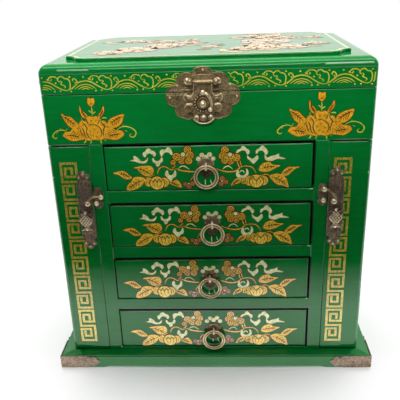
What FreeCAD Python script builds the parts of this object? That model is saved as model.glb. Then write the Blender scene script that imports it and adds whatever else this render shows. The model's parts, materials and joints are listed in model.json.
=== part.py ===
import FreeCAD, Part
import math
import os

# Lacquered jewellery chest: a lift-up lid over a lined tray, four drawers, and
# two swing-out wings for necklaces.  Millimetres, +Z up, the front faces -Y.
# The origin is at the centre of the plinth's footprint, on the table.

os.makedirs("parts", exist_ok=True)
Vec = FreeCAD.Vector
X_AXIS, Y_AXIS, Z_AXIS = Vec(1, 0, 0), Vec(0, 1, 0), Vec(0, 0, 1)

# ---- driving dimensions ----------------------------------------------------
BODY_W, BODY_D = 300.0, 210.0            # lacquered body
PLINTH_SIDE, PLINTH_FRONT = 12.7, 9.6    # how far the plinth stands out
PLINTH_TOP = 16.5
TRAY_BOTTOM = 243.5                      # the fixed tray section sits on the carcass
LID_SEAM = 290.0
LID_TOP = 317.0
PANEL_TOP = 320.0
LID_BOARD = 8.0                          # top board of the lid
BOARD = 9.0                              # outer boards
CORNER_R = 3.5                           # rounded upright corners
GAP = 0.8                                # seam under the lid

HALF_W, HALF_D = BODY_W / 2, BODY_D / 2
FRONT, BACK = -HALF_D, HALF_D
INNER_FRONT, INNER_BACK = FRONT + BOARD, BACK - BOARD
DRAWER_FACE = FRONT + 0.8                # the drawers shut a little behind the rails

# drawer openings (bottom, top) and the sideways place of each ring pull
DRAWER_OPENINGS = [(197.0, 243.0), (137.5, 184.0), (78.0, 125.0), (19.0, 66.0)]
PULL_X = [-2.4, 2.0, -2.0, 0.5]
RING_DROP = [1.3, 1.3, 1.3, -1.7]        # ring pivot above the drawer's middle
OPENING_HALF = 98.0
STILE_OUT = 111.0
PARTITION = 8.0
SHELF = 4.0
DRAWER_LEFT_GAP, DRAWER_RIGHT_GAP = 0.8, 1.8
DRAWER_TOP_GAP, DRAWER_FOOT_GAP = 2.2, 0.5
DRAWER_BOX_GAP = 1.6                     # beside the drawer box
DRAWER_WALL = 5.0
DRAWER_BACK = 88.0                       # rear end of a drawer box

# wings
WING_IN = 111.5
WING_BOTTOM, WING_TOP = 18.0, 242.0
WING_REAR = 95.5
WING_HINGE = Vec(151.8, 96.0, 0)         # right wing's hinge line; the left is mirrored
WING_HINGE_Z = [(48.0, 76.0), (184.0, 212.0)]

# lid hinge
LID_HINGE = Vec(0, 107.2, 290.4)
LID_HINGE_X = [-90.0, 90.0]
HINGE_LEN = 40.0
KNUCKLE_R, PIN_R = 2.0, 0.9

# lock
LOCK_X = -3.2
PLATE = 0.8                              # sheet brass
HASP_PIN = Vec(LOCK_X + 0.4, -108.9, 300.0)
HASP_BARREL_R, HASP_PIN_R = 1.6, 0.8
KNOB_Z = 280.7
HASP_HOLE_R, HASP_SLOT = 4.3, 2.0
HOOK_PIVOT = Vec(LOCK_X, 0, 290.5)

# ring pull
RING_OUT, RING_IN = 11.7, 8.3
RING_Y = DRAWER_FACE - 4.4

NODES = []


# ---- helpers ---------------------------------------------------------------
def box(x0, x1, y0, y1, z0, z1):
    """A block between two corners."""
    return Part.makeBox(x1 - x0, y1 - y0, z1 - z0, Vec(x0, y0, z0))


def rod(start, direction, radius, length):
    return Part.makeCylinder(radius, length, start, direction)


def ball(centre, radius):
    """A sphere whose seam faces the back, clear of anything joined to its sides."""
    sphere = Part.makeSphere(radius)
    sphere.rotate(Vec(0, 0, 0), Z_AXIS, 90)
    sphere.translate(centre)
    return sphere


def join(shapes):
    """One solid from several that touch."""
    result = shapes[0]
    for shape in shapes[1:]:
        result = result.fuse(shape)
    return result.removeSplitter()


def mirrored(shape):
    return shape.mirror(Vec(0, 0, 0), X_AXIS)


def soften(shape, radius, choose):
    """Fillet every edge that choose() accepts."""
    edges = [edge for edge in shape.Edges if choose(edge)]
    return shape.makeFillet(radius, edges)


def upright_at(*corners):
    """An edge chooser for upright edges standing at the given x, y corners."""
    def choose(edge):
        reach = edge.BoundBox
        upright = reach.XLength < 0.01 and reach.YLength < 0.01 and reach.ZLength > 1
        return upright and any(abs(reach.XMin - x) < 0.01 and abs(reach.YMin - y) < 0.01
                               for x, y in corners)
    return choose


def outline_xz(start, pieces, y):
    """A closed wire in the plane y: each piece is (end) or (middle, end) of an arc."""
    edges = []
    here = start
    for piece in list(pieces) + [(start,)]:
        end = piece[-1]
        if math.dist(here, end) < 1e-6:
            continue
        a, b = Vec(here[0], y, here[1]), Vec(end[0], y, end[1])
        if len(piece) == 1:
            edges.append(Part.makeLine(a, b))
        else:
            middle = Vec(piece[0][0], y, piece[0][1])
            edges.append(Part.Arc(a, middle, b).toShape())
        here = end
    return Part.Wire(edges)


def symmetric_plate(centre_x, half, y_front, thick):
    """A plate whose outline is half() and its mirror image, from top to bottom."""
    first = half[0][-1]
    right = [tuple((centre_x + dx, z) for dx, z in piece) for piece in half]
    points = [piece[-1] for piece in half]
    left = []
    for i in range(len(half) - 1, 0, -1):
        back_to = (centre_x - points[i - 1][0], points[i - 1][1])
        if len(half[i]) == 1:
            left.append((back_to,))
        else:
            left.append(((centre_x - half[i][0][0], half[i][0][1]), back_to))
    start = (centre_x + first[0], first[1])
    bottom = points[-1]
    across = [] if abs(bottom[0]) < 1e-6 else [((centre_x - bottom[0], bottom[1]),)]
    wire = outline_xz(start, right[1:] + across + left, y_front)
    return Part.Face(wire).extrude(Vec(0, thick, 0))


def arc_tube(points, radius):
    """A round bar along the arc through three points."""
    arc = Part.Arc(*points).toShape()
    start = arc.Curve.value(arc.FirstParameter)
    section = Part.Face(Part.Wire([Part.makeCircle(radius, start, arc.tangentAt(arc.FirstParameter))]))
    swing = math.degrees(arc.LastParameter - arc.FirstParameter)
    return section.revolve(arc.Curve.Center, arc.Curve.Axis, swing)


def save(name, *shapes):
    """Write one sub-part; several shapes are a group of like pieces."""
    solids = [solid for shape in shapes for solid in shape.Solids]
    for solid in solids:
        if not solid.isValid():
            raise ValueError(name + " has an invalid solid")
    whole = solids[0] if len(solids) == 1 else Part.makeCompound(solids)
    whole.exportStep("parts/" + name + ".step")
    NODES.append(name)


# ---- plinth ----------------------------------------------------------------
def plinth():
    half_w, half_d = HALF_W + PLINTH_SIDE, HALF_D + PLINTH_FRONT
    edge_top = PLINTH_TOP - 2.0
    slab = box(-half_w, half_w, -half_d, half_d, 0, edge_top)
    slab = soften(slab, 2.0, lambda edge: edge.BoundBox.ZMin > edge_top - 0.01)
    low = Part.makePolygon([Vec(sx * (half_w - 2.5), sy * (half_d - 2.5), edge_top)
                            for sx, sy in ((-1, -1), (1, -1), (1, 1), (-1, 1), (-1, -1))])
    top = Part.makePolygon([Vec(sx * (HALF_W + 1.5), sy * (HALF_D + 1.0), PLINTH_TOP)
                            for sx, sy in ((-1, -1), (1, -1), (1, 1), (-1, 1), (-1, -1))])
    solid = join([slab, Part.makeLoft([low, top], True, True)])
    # the underside is relieved between four corner feet, with ogee ends
    rise, reach = 1.4, 8.0
    for half_span, along_x in ((112.0, True), (66.0, False)):
        start = (-half_span - reach, -1.0)
        pieces = [((-half_span - reach, 0.0),),
                  ((-half_span - reach / 2, 0.3), (-half_span, rise)),
                  ((half_span, rise),),
                  ((half_span + reach / 2, 0.3), (half_span + reach, 0.0)),
                  ((half_span + reach, -1.0),)]
        cutter = Part.Face(outline_xz(start, pieces, -200)).extrude(Vec(0, 400, 0))
        if not along_x:
            cutter.rotate(Vec(0, 0, 0), Z_AXIS, 90)
        solid = solid.cut(cutter)
    save("plinth", solid)


def corner_brackets():
    """Pierced sheet-metal corners wrapped round the plinth, one bent piece each."""
    half_w, half_d = HALF_W + PLINTH_SIDE, HALF_D + PLINTH_FRONT
    leg, low, high = 41.0, 0.3, 14.2
    middle = (low + high) / 2

    def leg_face():
        pieces = [((28.0, high),),
                  ((30.5, high - 1.5), (32.0, middle + 3.5)),
                  ((34.5, high - 0.8), (38.0, middle + 2.6)),
                  ((41.2, middle), (38.0, middle - 2.6)),
                  ((34.5, low + 0.8), (32.0, middle - 3.5)),
                  ((30.5, low + 1.5), (28.0, low)),
                  ((0.0, low),)]
        return Part.Face(outline_xz((0.0, high), pieces, 0))

    front = leg_face().extrude(Vec(0, -PLATE, 0))
    side = leg_face().extrude(Vec(0, -PLATE, 0))
    side.rotate(Vec(0, 0, 0), Z_AXIS, 90)
    # bring both legs to the front-left corner
    front.translate(Vec(-half_w, -half_d, 0))
    side = mirrored(side)
    side.translate(Vec(-half_w, -half_d, 0))
    corner = box(-half_w - PLATE, -half_w, -half_d - PLATE, -half_d, low, high)
    first = join([front, side, corner])
    second = mirrored(first)
    rear = [piece.mirror(Vec(0, 0, 0), Y_AXIS) for piece in (first, second)]
    save("base_corner_brackets", first, second, *rear)


# ---- carcass ---------------------------------------------------------------
def carcass():
    depth_y = (INNER_FRONT, INNER_BACK)
    back = box(-HALF_W, HALF_W, INNER_BACK, BACK, PLINTH_TOP, TRAY_BOTTOM)
    back = soften(back, CORNER_R, upright_at((-HALF_W, BACK), (HALF_W, BACK)))
    save("back_panel", back)
    partition = box(OPENING_HALF, OPENING_HALF + PARTITION, *depth_y, PLINTH_TOP, TRAY_BOTTOM)
    save("partitions", partition, mirrored(partition))
    stile = box(OPENING_HALF, STILE_OUT, FRONT, INNER_FRONT, PLINTH_TOP, TRAY_BOTTOM)
    save("front_stiles", stile, mirrored(stile))
    bottoms = [low for low, high in DRAWER_OPENINGS]
    tops = [high for low, high in DRAWER_OPENINGS]
    rails = [box(-OPENING_HALF, OPENING_HALF, FRONT, INNER_FRONT, low, high)
             for low, high in zip(tops[1:] + [PLINTH_TOP], bottoms)]
    save("drawer_rails", *rails)
    shelves = [box(-OPENING_HALF, OPENING_HALF, *depth_y, low - SHELF, low)
               for low in bottoms[:3]]
    floor_board = box(-OPENING_HALF, OPENING_HALF, *depth_y, PLINTH_TOP, bottoms[3])
    save("drawer_shelves", *shelves, floor_board)


def tray_section():
    z = (TRAY_BOTTOM, LID_SEAM)
    front = box(-HALF_W, HALF_W, FRONT, INNER_FRONT, *z)
    front = soften(front, CORNER_R, upright_at((-HALF_W, FRONT), (HALF_W, FRONT)))
    save("tray_front", front)
    back = box(-HALF_W, HALF_W, INNER_BACK, BACK, *z)
    back = soften(back, CORNER_R, upright_at((-HALF_W, BACK), (HALF_W, BACK)))
    save("tray_back", back)
    end = box(HALF_W - BOARD, HALF_W, INNER_FRONT, INNER_BACK, *z)
    save("tray_ends", end, mirrored(end))
    inner = HALF_W - BOARD
    floor_top = TRAY_BOTTOM + 6.0
    save("tray_floor", box(-inner, inner, INNER_FRONT, INNER_BACK, TRAY_BOTTOM, floor_top))
    tray_lining(inner, floor_top)


def tray_lining(inner, floor_top):
    """Padded lining: a floor pad, four wall pads and two covered dividers."""
    pad = 2.5
    high = LID_SEAM - 4.0
    floor_pad = box(-inner, inner, INNER_FRONT, INNER_BACK, floor_top, floor_top + pad)
    base = floor_top + pad
    walls = [box(-inner, inner, INNER_FRONT, INNER_FRONT + pad, base, high),
             box(-inner, inner, INNER_BACK - pad, INNER_BACK, base, high),
             box(-inner, -inner + pad, INNER_FRONT + pad, INNER_BACK - pad, base, high),
             box(inner - pad, inner, INNER_FRONT + pad, INNER_BACK - pad, base, high)]
    divider_top = high - 8.0
    across = box(-inner + pad, inner - pad, -2.0, 2.0, base, divider_top)
    half_wall = box(28.0, 32.0, 2.0, INNER_BACK - pad, base, divider_top)
    save("tray_lining", floor_pad, *walls, across, half_wall)
    roll_r = 6.0
    rolls = []
    for i in range(7):
        y = INNER_FRONT + pad + roll_r + 0.3 + i * (2 * roll_r + 0.8)
        rolls.append(rod(Vec(-inner + pad + 0.5, y, base + roll_r), X_AXIS, roll_r, 2 * inner - 2 * pad - 1))
    save("ring_rolls", *rolls)


# ---- lid -------------------------------------------------------------------
def ogee_corner_outline(half_x, half_y, cut_x, cut_y, z):
    """A rectangle whose four corners are set back by S-curves, as a face at height z."""
    bend_x, bend_y = cut_x / 2, cut_y / 2
    edges = []
    corners = [(1, 1), (-1, 1), (-1, -1), (1, -1)]
    previous = None
    first = None
    for index, (sx, sy) in enumerate(corners):
        side = Vec(sx * half_x, sy * (half_y - cut_y), z)
        middle = Vec(sx * (half_x - bend_x), sy * (half_y - bend_y), z)
        end = Vec(sx * (half_x - cut_x), sy * half_y, z)
        swell_a = Vec(sx * (half_x - bend_x * 0.62), sy * (half_y - cut_y + bend_y * 0.30), z)
        swell_b = Vec(sx * (half_x - cut_x + bend_x * 0.62), sy * (half_y - bend_y * 0.30), z)
        run = [(side, swell_a, middle), (middle, swell_b, end)]
        if index % 2:
            run = [(c, b, a) for a, b, c in reversed(run)]
        if previous is not None:
            edges.append(Part.makeLine(previous, run[0][0]))
        else:
            first = run[0][0]
        for a, b, c in run:
            edges.append(Part.Arc(a, b, c).toShape())
        previous = run[-1][2]
    edges.append(Part.makeLine(previous, first))
    return Part.Face(Part.Wire(edges))


def lid():
    low, board_top = LID_SEAM + GAP, LID_TOP - LID_BOARD
    front = box(-HALF_W, HALF_W, FRONT, INNER_FRONT, low, board_top)
    front = soften(front, CORNER_R, upright_at((-HALF_W, FRONT), (HALF_W, FRONT)))
    save("lid_front", front)
    back = box(-HALF_W, HALF_W, INNER_BACK, BACK, low, board_top)
    back = soften(back, CORNER_R, upright_at((-HALF_W, BACK), (HALF_W, BACK)))
    save("lid_back", back)
    end = box(HALF_W - BOARD, HALF_W, INNER_FRONT, INNER_BACK, low, board_top)
    save("lid_ends", end, mirrored(end))
    lid_top(board_top)
    panel = ogee_corner_outline(132.0, 88.0, 19.0, 17.0, LID_TOP).extrude(
        Vec(0, 0, PANEL_TOP - LID_TOP))
    panel = soften(panel, 0.8, lambda edge: edge.BoundBox.ZMin > PANEL_TOP - 0.01)
    save("lid_panel", panel)
    mirror_frame(board_top)


def lid_top(board_top):
    """Top board: rounded over all round, with a crisp sloped moulding front and back."""
    board = box(-HALF_W, HALF_W, FRONT, BACK, board_top, LID_TOP)
    board = soften(board, CORNER_R, upright_at(*[(sx * HALF_W, sy * HALF_D)
                                                 for sx in (-1, 1) for sy in (-1, 1)]))
    board = soften(board, 7.9, lambda edge: edge.BoundBox.ZMin > LID_TOP - 0.01)
    arris, crest_y, crest_z = 312.5, -95.0, 316.7
    profile = Part.makePolygon([Vec(-130, FRONT, board_top), Vec(-130, FRONT, arris),
                                Vec(-130, crest_y, crest_z), Vec(-130, crest_y, board_top),
                                Vec(-130, FRONT, board_top)])
    bar = Part.Face(profile).extrude(Vec(260, 0, 0))
    reach = ogee_corner_outline(124.0, HALF_D, 26.0, 11.0, board_top - 1).extrude(Vec(0, 0, 12))
    bar = bar.common(reach)
    rear_bar = bar.mirror(Vec(0, 0, 0), Y_AXIS)
    save("lid_top", join([board, bar, rear_bar]))


def mirror_frame(board_top):
    """A looking glass in a thin frame under the lid board."""
    glass_half_x, glass_half_y, rim = 118.0, 74.0, 9.0
    outer = box(-glass_half_x - rim, glass_half_x + rim, -glass_half_y - rim,
                glass_half_y + rim, board_top - 5.0, board_top)
    window = box(-glass_half_x, glass_half_x, -glass_half_y, glass_half_y,
                 board_top - 6.0, board_top + 1)
    save("mirror_frame", outer.cut(window))
    save("lid_mirror", box(-glass_half_x, glass_half_x, -glass_half_y, glass_half_y,
                           board_top - 3.0, board_top))


# ---- hinges ----------------------------------------------------------------
def lid_hinge_pieces(centre_x):
    """Case leaf, lid leaf and pin of one lid hinge."""
    third = HINGE_LEN / 3
    left = centre_x - HINGE_LEN / 2
    y, z = LID_HINGE.y, LID_HINGE.z
    hole = rod(Vec(left - 1, y, z), X_AXIS, PIN_R + 0.05, HINGE_LEN + 2)

    def knuckle(x, length):
        return rod(Vec(x, y, z), X_AXIS, KNUCKLE_R, length)

    case_leaf = [box(left, left + HINGE_LEN, BACK, BACK + 1.0, 268.0, 286.5)]
    lid_leaf = [box(left, left + HINGE_LEN, BACK, BACK + 1.0, 294.3, 307.0)]
    for x, length in ((left, third - 0.15), (left + 2 * third + 0.15, third - 0.15)):
        case_leaf.append(knuckle(x, length))
        case_leaf.append(box(x, x + length, BACK, BACK + 1.0, 286.5, 289.0))
    middle_x, middle_len = left + third + 0.15, third - 0.3
    lid_leaf.append(knuckle(middle_x, middle_len))
    lid_leaf.append(box(middle_x, middle_x + middle_len, BACK, BACK + 1.0, 291.8, 294.3))
    case = join(case_leaf).cut(hole)
    lid_side = join(lid_leaf).cut(hole)
    pin = rod(Vec(left, y, z), X_AXIS, PIN_R, HINGE_LEN)
    return case, lid_side, pin


def wing_hinge_pieces(z0, z1):
    """Case leaf, wing leaf and pin of one right-hand wing hinge."""
    third = (z1 - z0) / 3
    x, y = WING_HINGE.x, WING_HINGE.y
    radius = 1.6
    hole = rod(Vec(x, y, z0 - 1), Z_AXIS, 0.8, z1 - z0 + 2)
    case_leaf = [box(HALF_W, HALF_W + 0.8, y + 2.2, BACK - 3.6, z0, z1)]
    wing_leaf = [box(HALF_W, HALF_W + 0.8, 82.0, y - 2.2, z0, z1)]
    for z, length in ((z0, third - 0.15), (z0 + 2 * third + 0.15, third - 0.15)):
        case_leaf.append(rod(Vec(x, y, z), Z_AXIS, radius, length))
        case_leaf.append(box(HALF_W + 0.2, HALF_W + 0.8, y + 1.0, y + 2.2, z, z + length))
    middle, length = z0 + third + 0.15, third - 0.3
    wing_leaf.append(rod(Vec(x, y, middle), Z_AXIS, radius, length))
    wing_leaf.append(box(HALF_W + 0.2, HALF_W + 0.8, y - 2.2, y - 1.0, middle, middle + length))
    pin = rod(Vec(x, y, z0), Z_AXIS, 0.75, z1 - z0)
    return join(case_leaf).cut(hole), join(wing_leaf).cut(hole), pin


def hinges():
    lid_sets = [lid_hinge_pieces(x) for x in LID_HINGE_X]
    right_sets = [wing_hinge_pieces(z0, z1) for z0, z1 in WING_HINGE_Z]
    left_sets = [[mirrored(piece) for piece in pieces] for pieces in right_sets]
    all_sets = lid_sets + right_sets + left_sets
    save("case_hinge_leaves", *[pieces[0] for pieces in all_sets])
    save("hinge_pins", *[pieces[2] for pieces in all_sets])
    save("lid_hinge_leaves", *[pieces[1] for pieces in lid_sets])
    save("wing_right_hinge_leaves", *[pieces[1] for pieces in right_sets])
    save("wing_left_hinge_leaves", *[pieces[1] for pieces in left_sets])


# ---- lock ------------------------------------------------------------------
def lock():
    cloud = [((0.0, 313.0),), ((6.6, 311.0), (9.9, 306.8)),
             ((18.6, 306.8), (23.4, 300.2)), ((23.6, 298.2), (22.2, 296.8)),
             ((29.4, 295.6), (32.8, 288.4)), ((31.6, 280.6), (24.8, 277.6)),
             ((24.2, 270.4), (17.6, 267.0)), ((13.6, 265.6), (9.8, 267.2)),
             ((6.6, 262.8), (0.0, 261.5))]
    plate = symmetric_plate(LOCK_X, cloud, FRONT - PLATE, PLATE)
    upper = plate.common(box(-60, 60, -110, -100, LID_SEAM + GAP, 320))
    lower = plate.common(box(-60, 60, -110, -100, 250, LID_SEAM - 0.2))
    ends = [Vec(HASP_PIN.x - 11.6, HASP_PIN.y, HASP_PIN.z),
            Vec(HASP_PIN.x + 11.6, HASP_PIN.y, HASP_PIN.z)]
    balls = [ball(end, 3.1) for end in ends]
    lugs = [rod(end, Y_AXIS, 1.6, FRONT - PLATE - end.y) for end in ends]
    pin = rod(ends[0], X_AXIS, HASP_PIN_R, 23.2)
    pin_with_balls = join([pin] + balls)
    save("hasp_pin", pin_with_balls)
    save("lock_plate_upper", join([upper] + lugs).cut(pin_with_balls))
    save("lock_plate_lower", lower)
    lock_knob()
    hasp()
    hasp_hook()


def lock_knob():
    """A button on a thin neck, standing clear of the closed hasp."""
    face, rear, front = FRONT - PLATE, -110.1, -114.2
    neck = rod(Vec(LOCK_X, face, KNOB_Z), -Y_AXIS, 0.65, face - rear + 0.6)
    centre = Vec(LOCK_X, (rear + front) / 2, KNOB_Z)
    button = ball(centre, 3.1).common(box(-20, 20, front, rear, 270, 300))
    boss = rod(Vec(LOCK_X, face, KNOB_Z), -Y_AXIS, 2.2, 0.8)
    save("lock_knob", join([neck, boss, button]))


def hasp():
    """A butterfly-shaped tongue: neck, two wings and a petalled tail."""
    y_front, thick = -107.9, 0.9
    half = [((0.0, 300.0),), ((8.5, 300.0),), ((8.5, 290.6),),
            ((12.2, 287.4), (15.4, 289.3)), ((17.8, 287.4), (16.6, 284.0)),
            ((13.4, 281.8), (14.2, 279.6)), ((17.4, 277.8), (17.0, 275.2)),
            ((16.2, 272.6), (13.8, 271.0)), ((11.4, 273.0), (9.4, 270.6)),
            ((9.2, 268.4), (10.2, 266.6)), ((6.2, 262.9), (0.0, 261.6))]
    plate = symmetric_plate(LOCK_X + 0.2, half, y_front, thick)
    barrel = rod(Vec(HASP_PIN.x - 8.0, HASP_PIN.y, HASP_PIN.z), X_AXIS, HASP_BARREL_R, 16.0)
    hole = rod(Vec(LOCK_X, -112, KNOB_Z), Y_AXIS, HASP_HOLE_R, 10)
    slot = box(LOCK_X - HASP_SLOT / 2, LOCK_X + HASP_SLOT / 2, -112, -104, 255, KNOB_Z)
    bore = rod(Vec(HASP_PIN.x - 12, HASP_PIN.y, HASP_PIN.z), X_AXIS, HASP_PIN_R + 0.1, 24)
    rivet = rod(Vec(HOOK_PIVOT.x, y_front, HOOK_PIVOT.z), -Y_AXIS, 0.8, 1.6)
    head = ball(Vec(HOOK_PIVOT.x, y_front - 1.4, HOOK_PIVOT.z), 1.7)
    head = head.common(box(-10, 10, -115, y_front - 1.4, 280, 300))
    save("hasp", join([plate, barrel, rivet, head]).cut(hole).cut(slot).cut(bore))


def hasp_hook():
    """A small swivelling hook riveted to the hasp."""
    y = -108.6
    radius = 0.5
    eye = rod(Vec(HOOK_PIVOT.x, y - radius - 0.1, HOOK_PIVOT.z), Y_AXIS, 1.9, 2 * radius + 0.2)
    arm_a = arc_tube([Vec(HOOK_PIVOT.x + 1.5, y, HOOK_PIVOT.z - 0.4), Vec(2.0, y, 287.0),
                      Vec(4.3, y, 282.5)], radius)
    arm_b = arc_tube([Vec(4.3, y, 282.5), Vec(4.5, y, 278.6), Vec(3.2, y, 275.2)], radius)
    spur = arc_tube([Vec(4.2, y, 283.0), Vec(2.4, y, 281.6), Vec(0.8, y, 280.9)], radius)
    tip = ball(Vec(3.0, y - 1.3, 275.0), 1.9).common(box(-10, 10, -115, y + radius, 260, 290))
    hole = rod(Vec(HOOK_PIVOT.x, -112, HOOK_PIVOT.z), Y_AXIS, 0.95, 8)
    elbow = ball(Vec(4.3, y, 282.5), radius + 0.1)
    save("hasp_hook", join([eye, arm_a, arm_b, spur, elbow, tip]).cut(hole))


# ---- drawers ---------------------------------------------------------------
def drawer(number, low, high, pull_x, pivot_lift):
    name = "drawer_{}_".format(number)
    left, right = -OPENING_HALF + DRAWER_LEFT_GAP, OPENING_HALF - DRAWER_RIGHT_GAP
    foot = low + DRAWER_FOOT_GAP
    front = box(left, right, DRAWER_FACE, INNER_FRONT, foot, high - DRAWER_TOP_GAP)
    front = soften(front, 0.7, lambda edge: edge.BoundBox.YMax < DRAWER_FACE + 0.01)
    save(name + "front", front)
    box_half = OPENING_HALF - DRAWER_BOX_GAP
    rim = high - 7.0
    floor_top = foot + 3.0
    bottom = box(-box_half, box_half, INNER_FRONT, DRAWER_BACK, foot, floor_top)
    side = box(box_half - DRAWER_WALL, box_half, INNER_FRONT, DRAWER_BACK, floor_top, rim)
    back = box(-box_half + DRAWER_WALL, box_half - DRAWER_WALL, DRAWER_BACK - DRAWER_WALL,
               DRAWER_BACK, floor_top, rim)
    save(name + "box", bottom, side, mirrored(side), back)
    pivot = Vec(pull_x, RING_Y, (low + high) / 2 + pivot_lift)
    save(name + "pull_plate", pull_plate(pivot))
    ring_centre = Vec(pivot.x, pivot.y, pivot.z - (RING_OUT + RING_IN) / 2)
    tube = (RING_OUT - RING_IN) / 2
    ring = Part.makeTorus((RING_OUT + RING_IN) / 2, tube, ring_centre, Y_AXIS)
    save(name + "ring", ring)


def pull_plate(pivot):
    """A flower-shaped plate with the eye that the ring hangs in."""
    petals = 8
    disc = rod(Vec(pivot.x, DRAWER_FACE, pivot.z), -Y_AXIS, 6.2, PLATE)
    lobes = []
    for i in range(petals):
        angle = math.radians(360.0 * i / petals)
        centre = Vec(pivot.x + 5.6 * math.cos(angle), DRAWER_FACE, pivot.z + 5.6 * math.sin(angle))
        lobes.append(rod(centre, -Y_AXIS, 3.0, PLATE))
    eye_r, wire_r = 3.1, 0.9
    eye = Part.makeTorus(eye_r, wire_r, pivot, X_AXIS)
    eye = eye.common(box(pivot.x - 5, pivot.x + 5, -120, DRAWER_FACE, pivot.z - 10, pivot.z + 10))
    return join([disc] + lobes + [eye])


# ---- wings -----------------------------------------------------------------
def latch_plate_shape():
    """A long ogee-ended plate with trefoil finials, centred on x = 0."""
    half = [((0.0, 218.3),), ((2.6, 217.4), (3.6, 214.9)), ((6.2, 214.2), (6.2, 211.8)),
            ((5.0, 210.3), (3.0, 209.6)), ((6.0, 207.8), (7.2, 204.6)), ((7.2, 151.0),),
            ((6.0, 148.2), (3.0, 146.6)), ((5.4, 145.6), (6.2, 143.8)),
            ((6.0, 141.4), (3.8, 140.6)), ((2.6, 137.8), (0.0, 136.6))]
    return symmetric_plate(0.0, half, FRONT - PLATE, PLATE)


def rivet(x, z, reach, radius, head_r):
    """A round-headed rivet standing out of a latch plate."""
    face = FRONT - PLATE
    stem = rod(Vec(x, face, z), -Y_AXIS, radius, reach)
    centre = Vec(x, face - reach, z)
    head = ball(centre, head_r).common(box(x - 9, x + 9, -130, face - reach, z - 9, z + 9))
    return [stem, head]


def swing_hook(pivot, crown, tip, tip_r):
    """A round-bar hook lying in front of its plate: an eye, an arched arm and a ball."""
    y = -108.4
    radius = 0.9
    points = [Vec(x, y, z) for x, z in (pivot, crown, tip)]
    eye_half = radius + 0.15
    eye = rod(Vec(pivot[0], y - eye_half, pivot[1]), Y_AXIS, 2.2, 2 * eye_half)
    start = points[0] + (points[1] - points[0]).normalize() * 1.5
    arm = arc_tube([start, points[1], points[2]], radius)
    hole = rod(Vec(pivot[0], y - 3, pivot[1]), Y_AXIS, 0.95, 6)
    return join([eye, arm, ball(points[2], tip_r)]).cut(hole)


def fish_pull(x, pivot_z):
    """A drop pull in the outline of a fish, hung from a short pin."""
    y_front, thick = -108.6, 1.4
    half = [((0.0, 174.2),), ((2.4, 174.0), (4.4, 172.8)), ((7.2, 170.6), (6.4, 166.4)),
            ((4.2, 163.6), (2.8, 161.6)), ((3.2, 159.6), (4.4, 157.2)),
            ((2.4, 156.6), (1.2, 157.6)), ((0.0, 156.6),)]
    body = symmetric_plate(x, half, y_front, thick)
    y = -108.0
    neck = box(x - 1.2, x + 1.2, y - 0.5, y + 0.5, 173.5, pivot_z)
    barrel = rod(Vec(x - 1.3, y, pivot_z), X_AXIS, 1.4, 2.6)
    bore = rod(Vec(x - 3, y, pivot_z), X_AXIS, 0.75, 6)
    return join([body, neck, barrel]).cut(bore)


def fish_hanger(x, pivot_z):
    """Two lugs and the pin the drop pull swings on."""
    y = -108.0
    face = FRONT - PLATE
    lugs = [box(x + side - 0.5, x + side + 0.5, y - 1.0, face, pivot_z - 1.0, pivot_z + 1.0)
            for side in (-2.1, 2.1)]
    return lugs + [rod(Vec(x - 2.2, y, pivot_z), X_AXIS, 0.65, 4.4)]


def necklace_hooks():
    """A brass strip with bent hooks, inside the right wing near its top."""
    inner = HALF_W - BOARD
    strip = box(inner - 1.2, inner, -80.0, 80.0, 222.0, 230.0)
    pieces = [strip]
    for i in range(6):
        y = -70.0 + i * 28.0
        arm = rod(Vec(inner - 1.2, y, 226.0), -X_AXIS, 0.9, 8.0)
        tip = rod(Vec(inner - 9.2, y, 226.0), Z_AXIS, 0.9, 4.0)
        pieces += [arm, tip, ball(Vec(inner - 9.2, y, 226.0), 0.9), ball(Vec(inner - 9.2, y, 230.4), 1.3)]
    return join(pieces)


def wings():
    strip = box(WING_IN, HALF_W, FRONT, INNER_FRONT, WING_BOTTOM, WING_TOP)
    strip = soften(strip, CORNER_R, upright_at((HALF_W, FRONT)))
    side = box(HALF_W - BOARD, HALF_W, INNER_FRONT, WING_REAR, WING_BOTTOM, WING_TOP)
    hooks = necklace_hooks()
    plate_x = {"left": -119.5, "right": 119.0}
    fish_x = {"left": -120.5, "right": 119.5}
    rest_hook = {
        "left": [(-116.7, 186.3), (-112.4, 192.2), (-103.5, 192.8)],
        "right": [(117.0, 185.0), (116.2, 193.2), (107.3, 197.2)],
    }
    fish_z = 176.5
    for side_name in ("left", "right"):
        prefix = "wing_" + side_name + "_"
        place = mirrored if side_name == "left" else (lambda shape: shape)
        save(prefix + "front", place(strip))
        save(prefix + "side", place(side))
        save(prefix + "necklace_hooks", place(hooks))
        points = rest_hook[side_name]
        plate = latch_plate_shape()
        plate.translate(Vec(plate_x[side_name], 0, 0))
        parts = [plate] + fish_hanger(fish_x[side_name], fish_z)
        parts += rivet(points[0][0], points[0][1], 3.8, 0.8, 1.8)
        save(prefix + "latch_plate", join(parts))
        save(prefix + "latch_hook", swing_hook(*points, 2.6))
        save(prefix + "drop_pull", fish_pull(fish_x[side_name], fish_z))


def latch_keepers():
    """Lobed plates on the stiles, each with the post that its hook drops on."""
    keepers = []
    half = [((0.0, 201.5),), ((3.0, 200.6), (3.6, 197.6)), ((5.0, 195.2), (3.9, 192.0)),
            ((4.4, 189.6), (3.2, 187.2)), ((4.2, 184.0), (2.4, 181.2)), ((1.4, 179.8), (0.0, 179.6))]
    for x, post_x in ((-106.6, -108.0), (106.6, 106.8)):
        plate = symmetric_plate(x, half, FRONT - PLATE, PLATE)
        post = rod(Vec(post_x, FRONT - PLATE, 186.6), -Y_AXIS, 1.1, 3.6)
        root = Part.makeCone(2.0, 1.1, 1.4, Vec(post_x, FRONT - PLATE, 186.6), -Y_AXIS)
        head = ball(Vec(post_x, FRONT - PLATE - 3.4, 186.6), 2.2)
        keepers.append(join([plate, post, root, head]))
    save("latch_keepers", *keepers)


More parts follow.
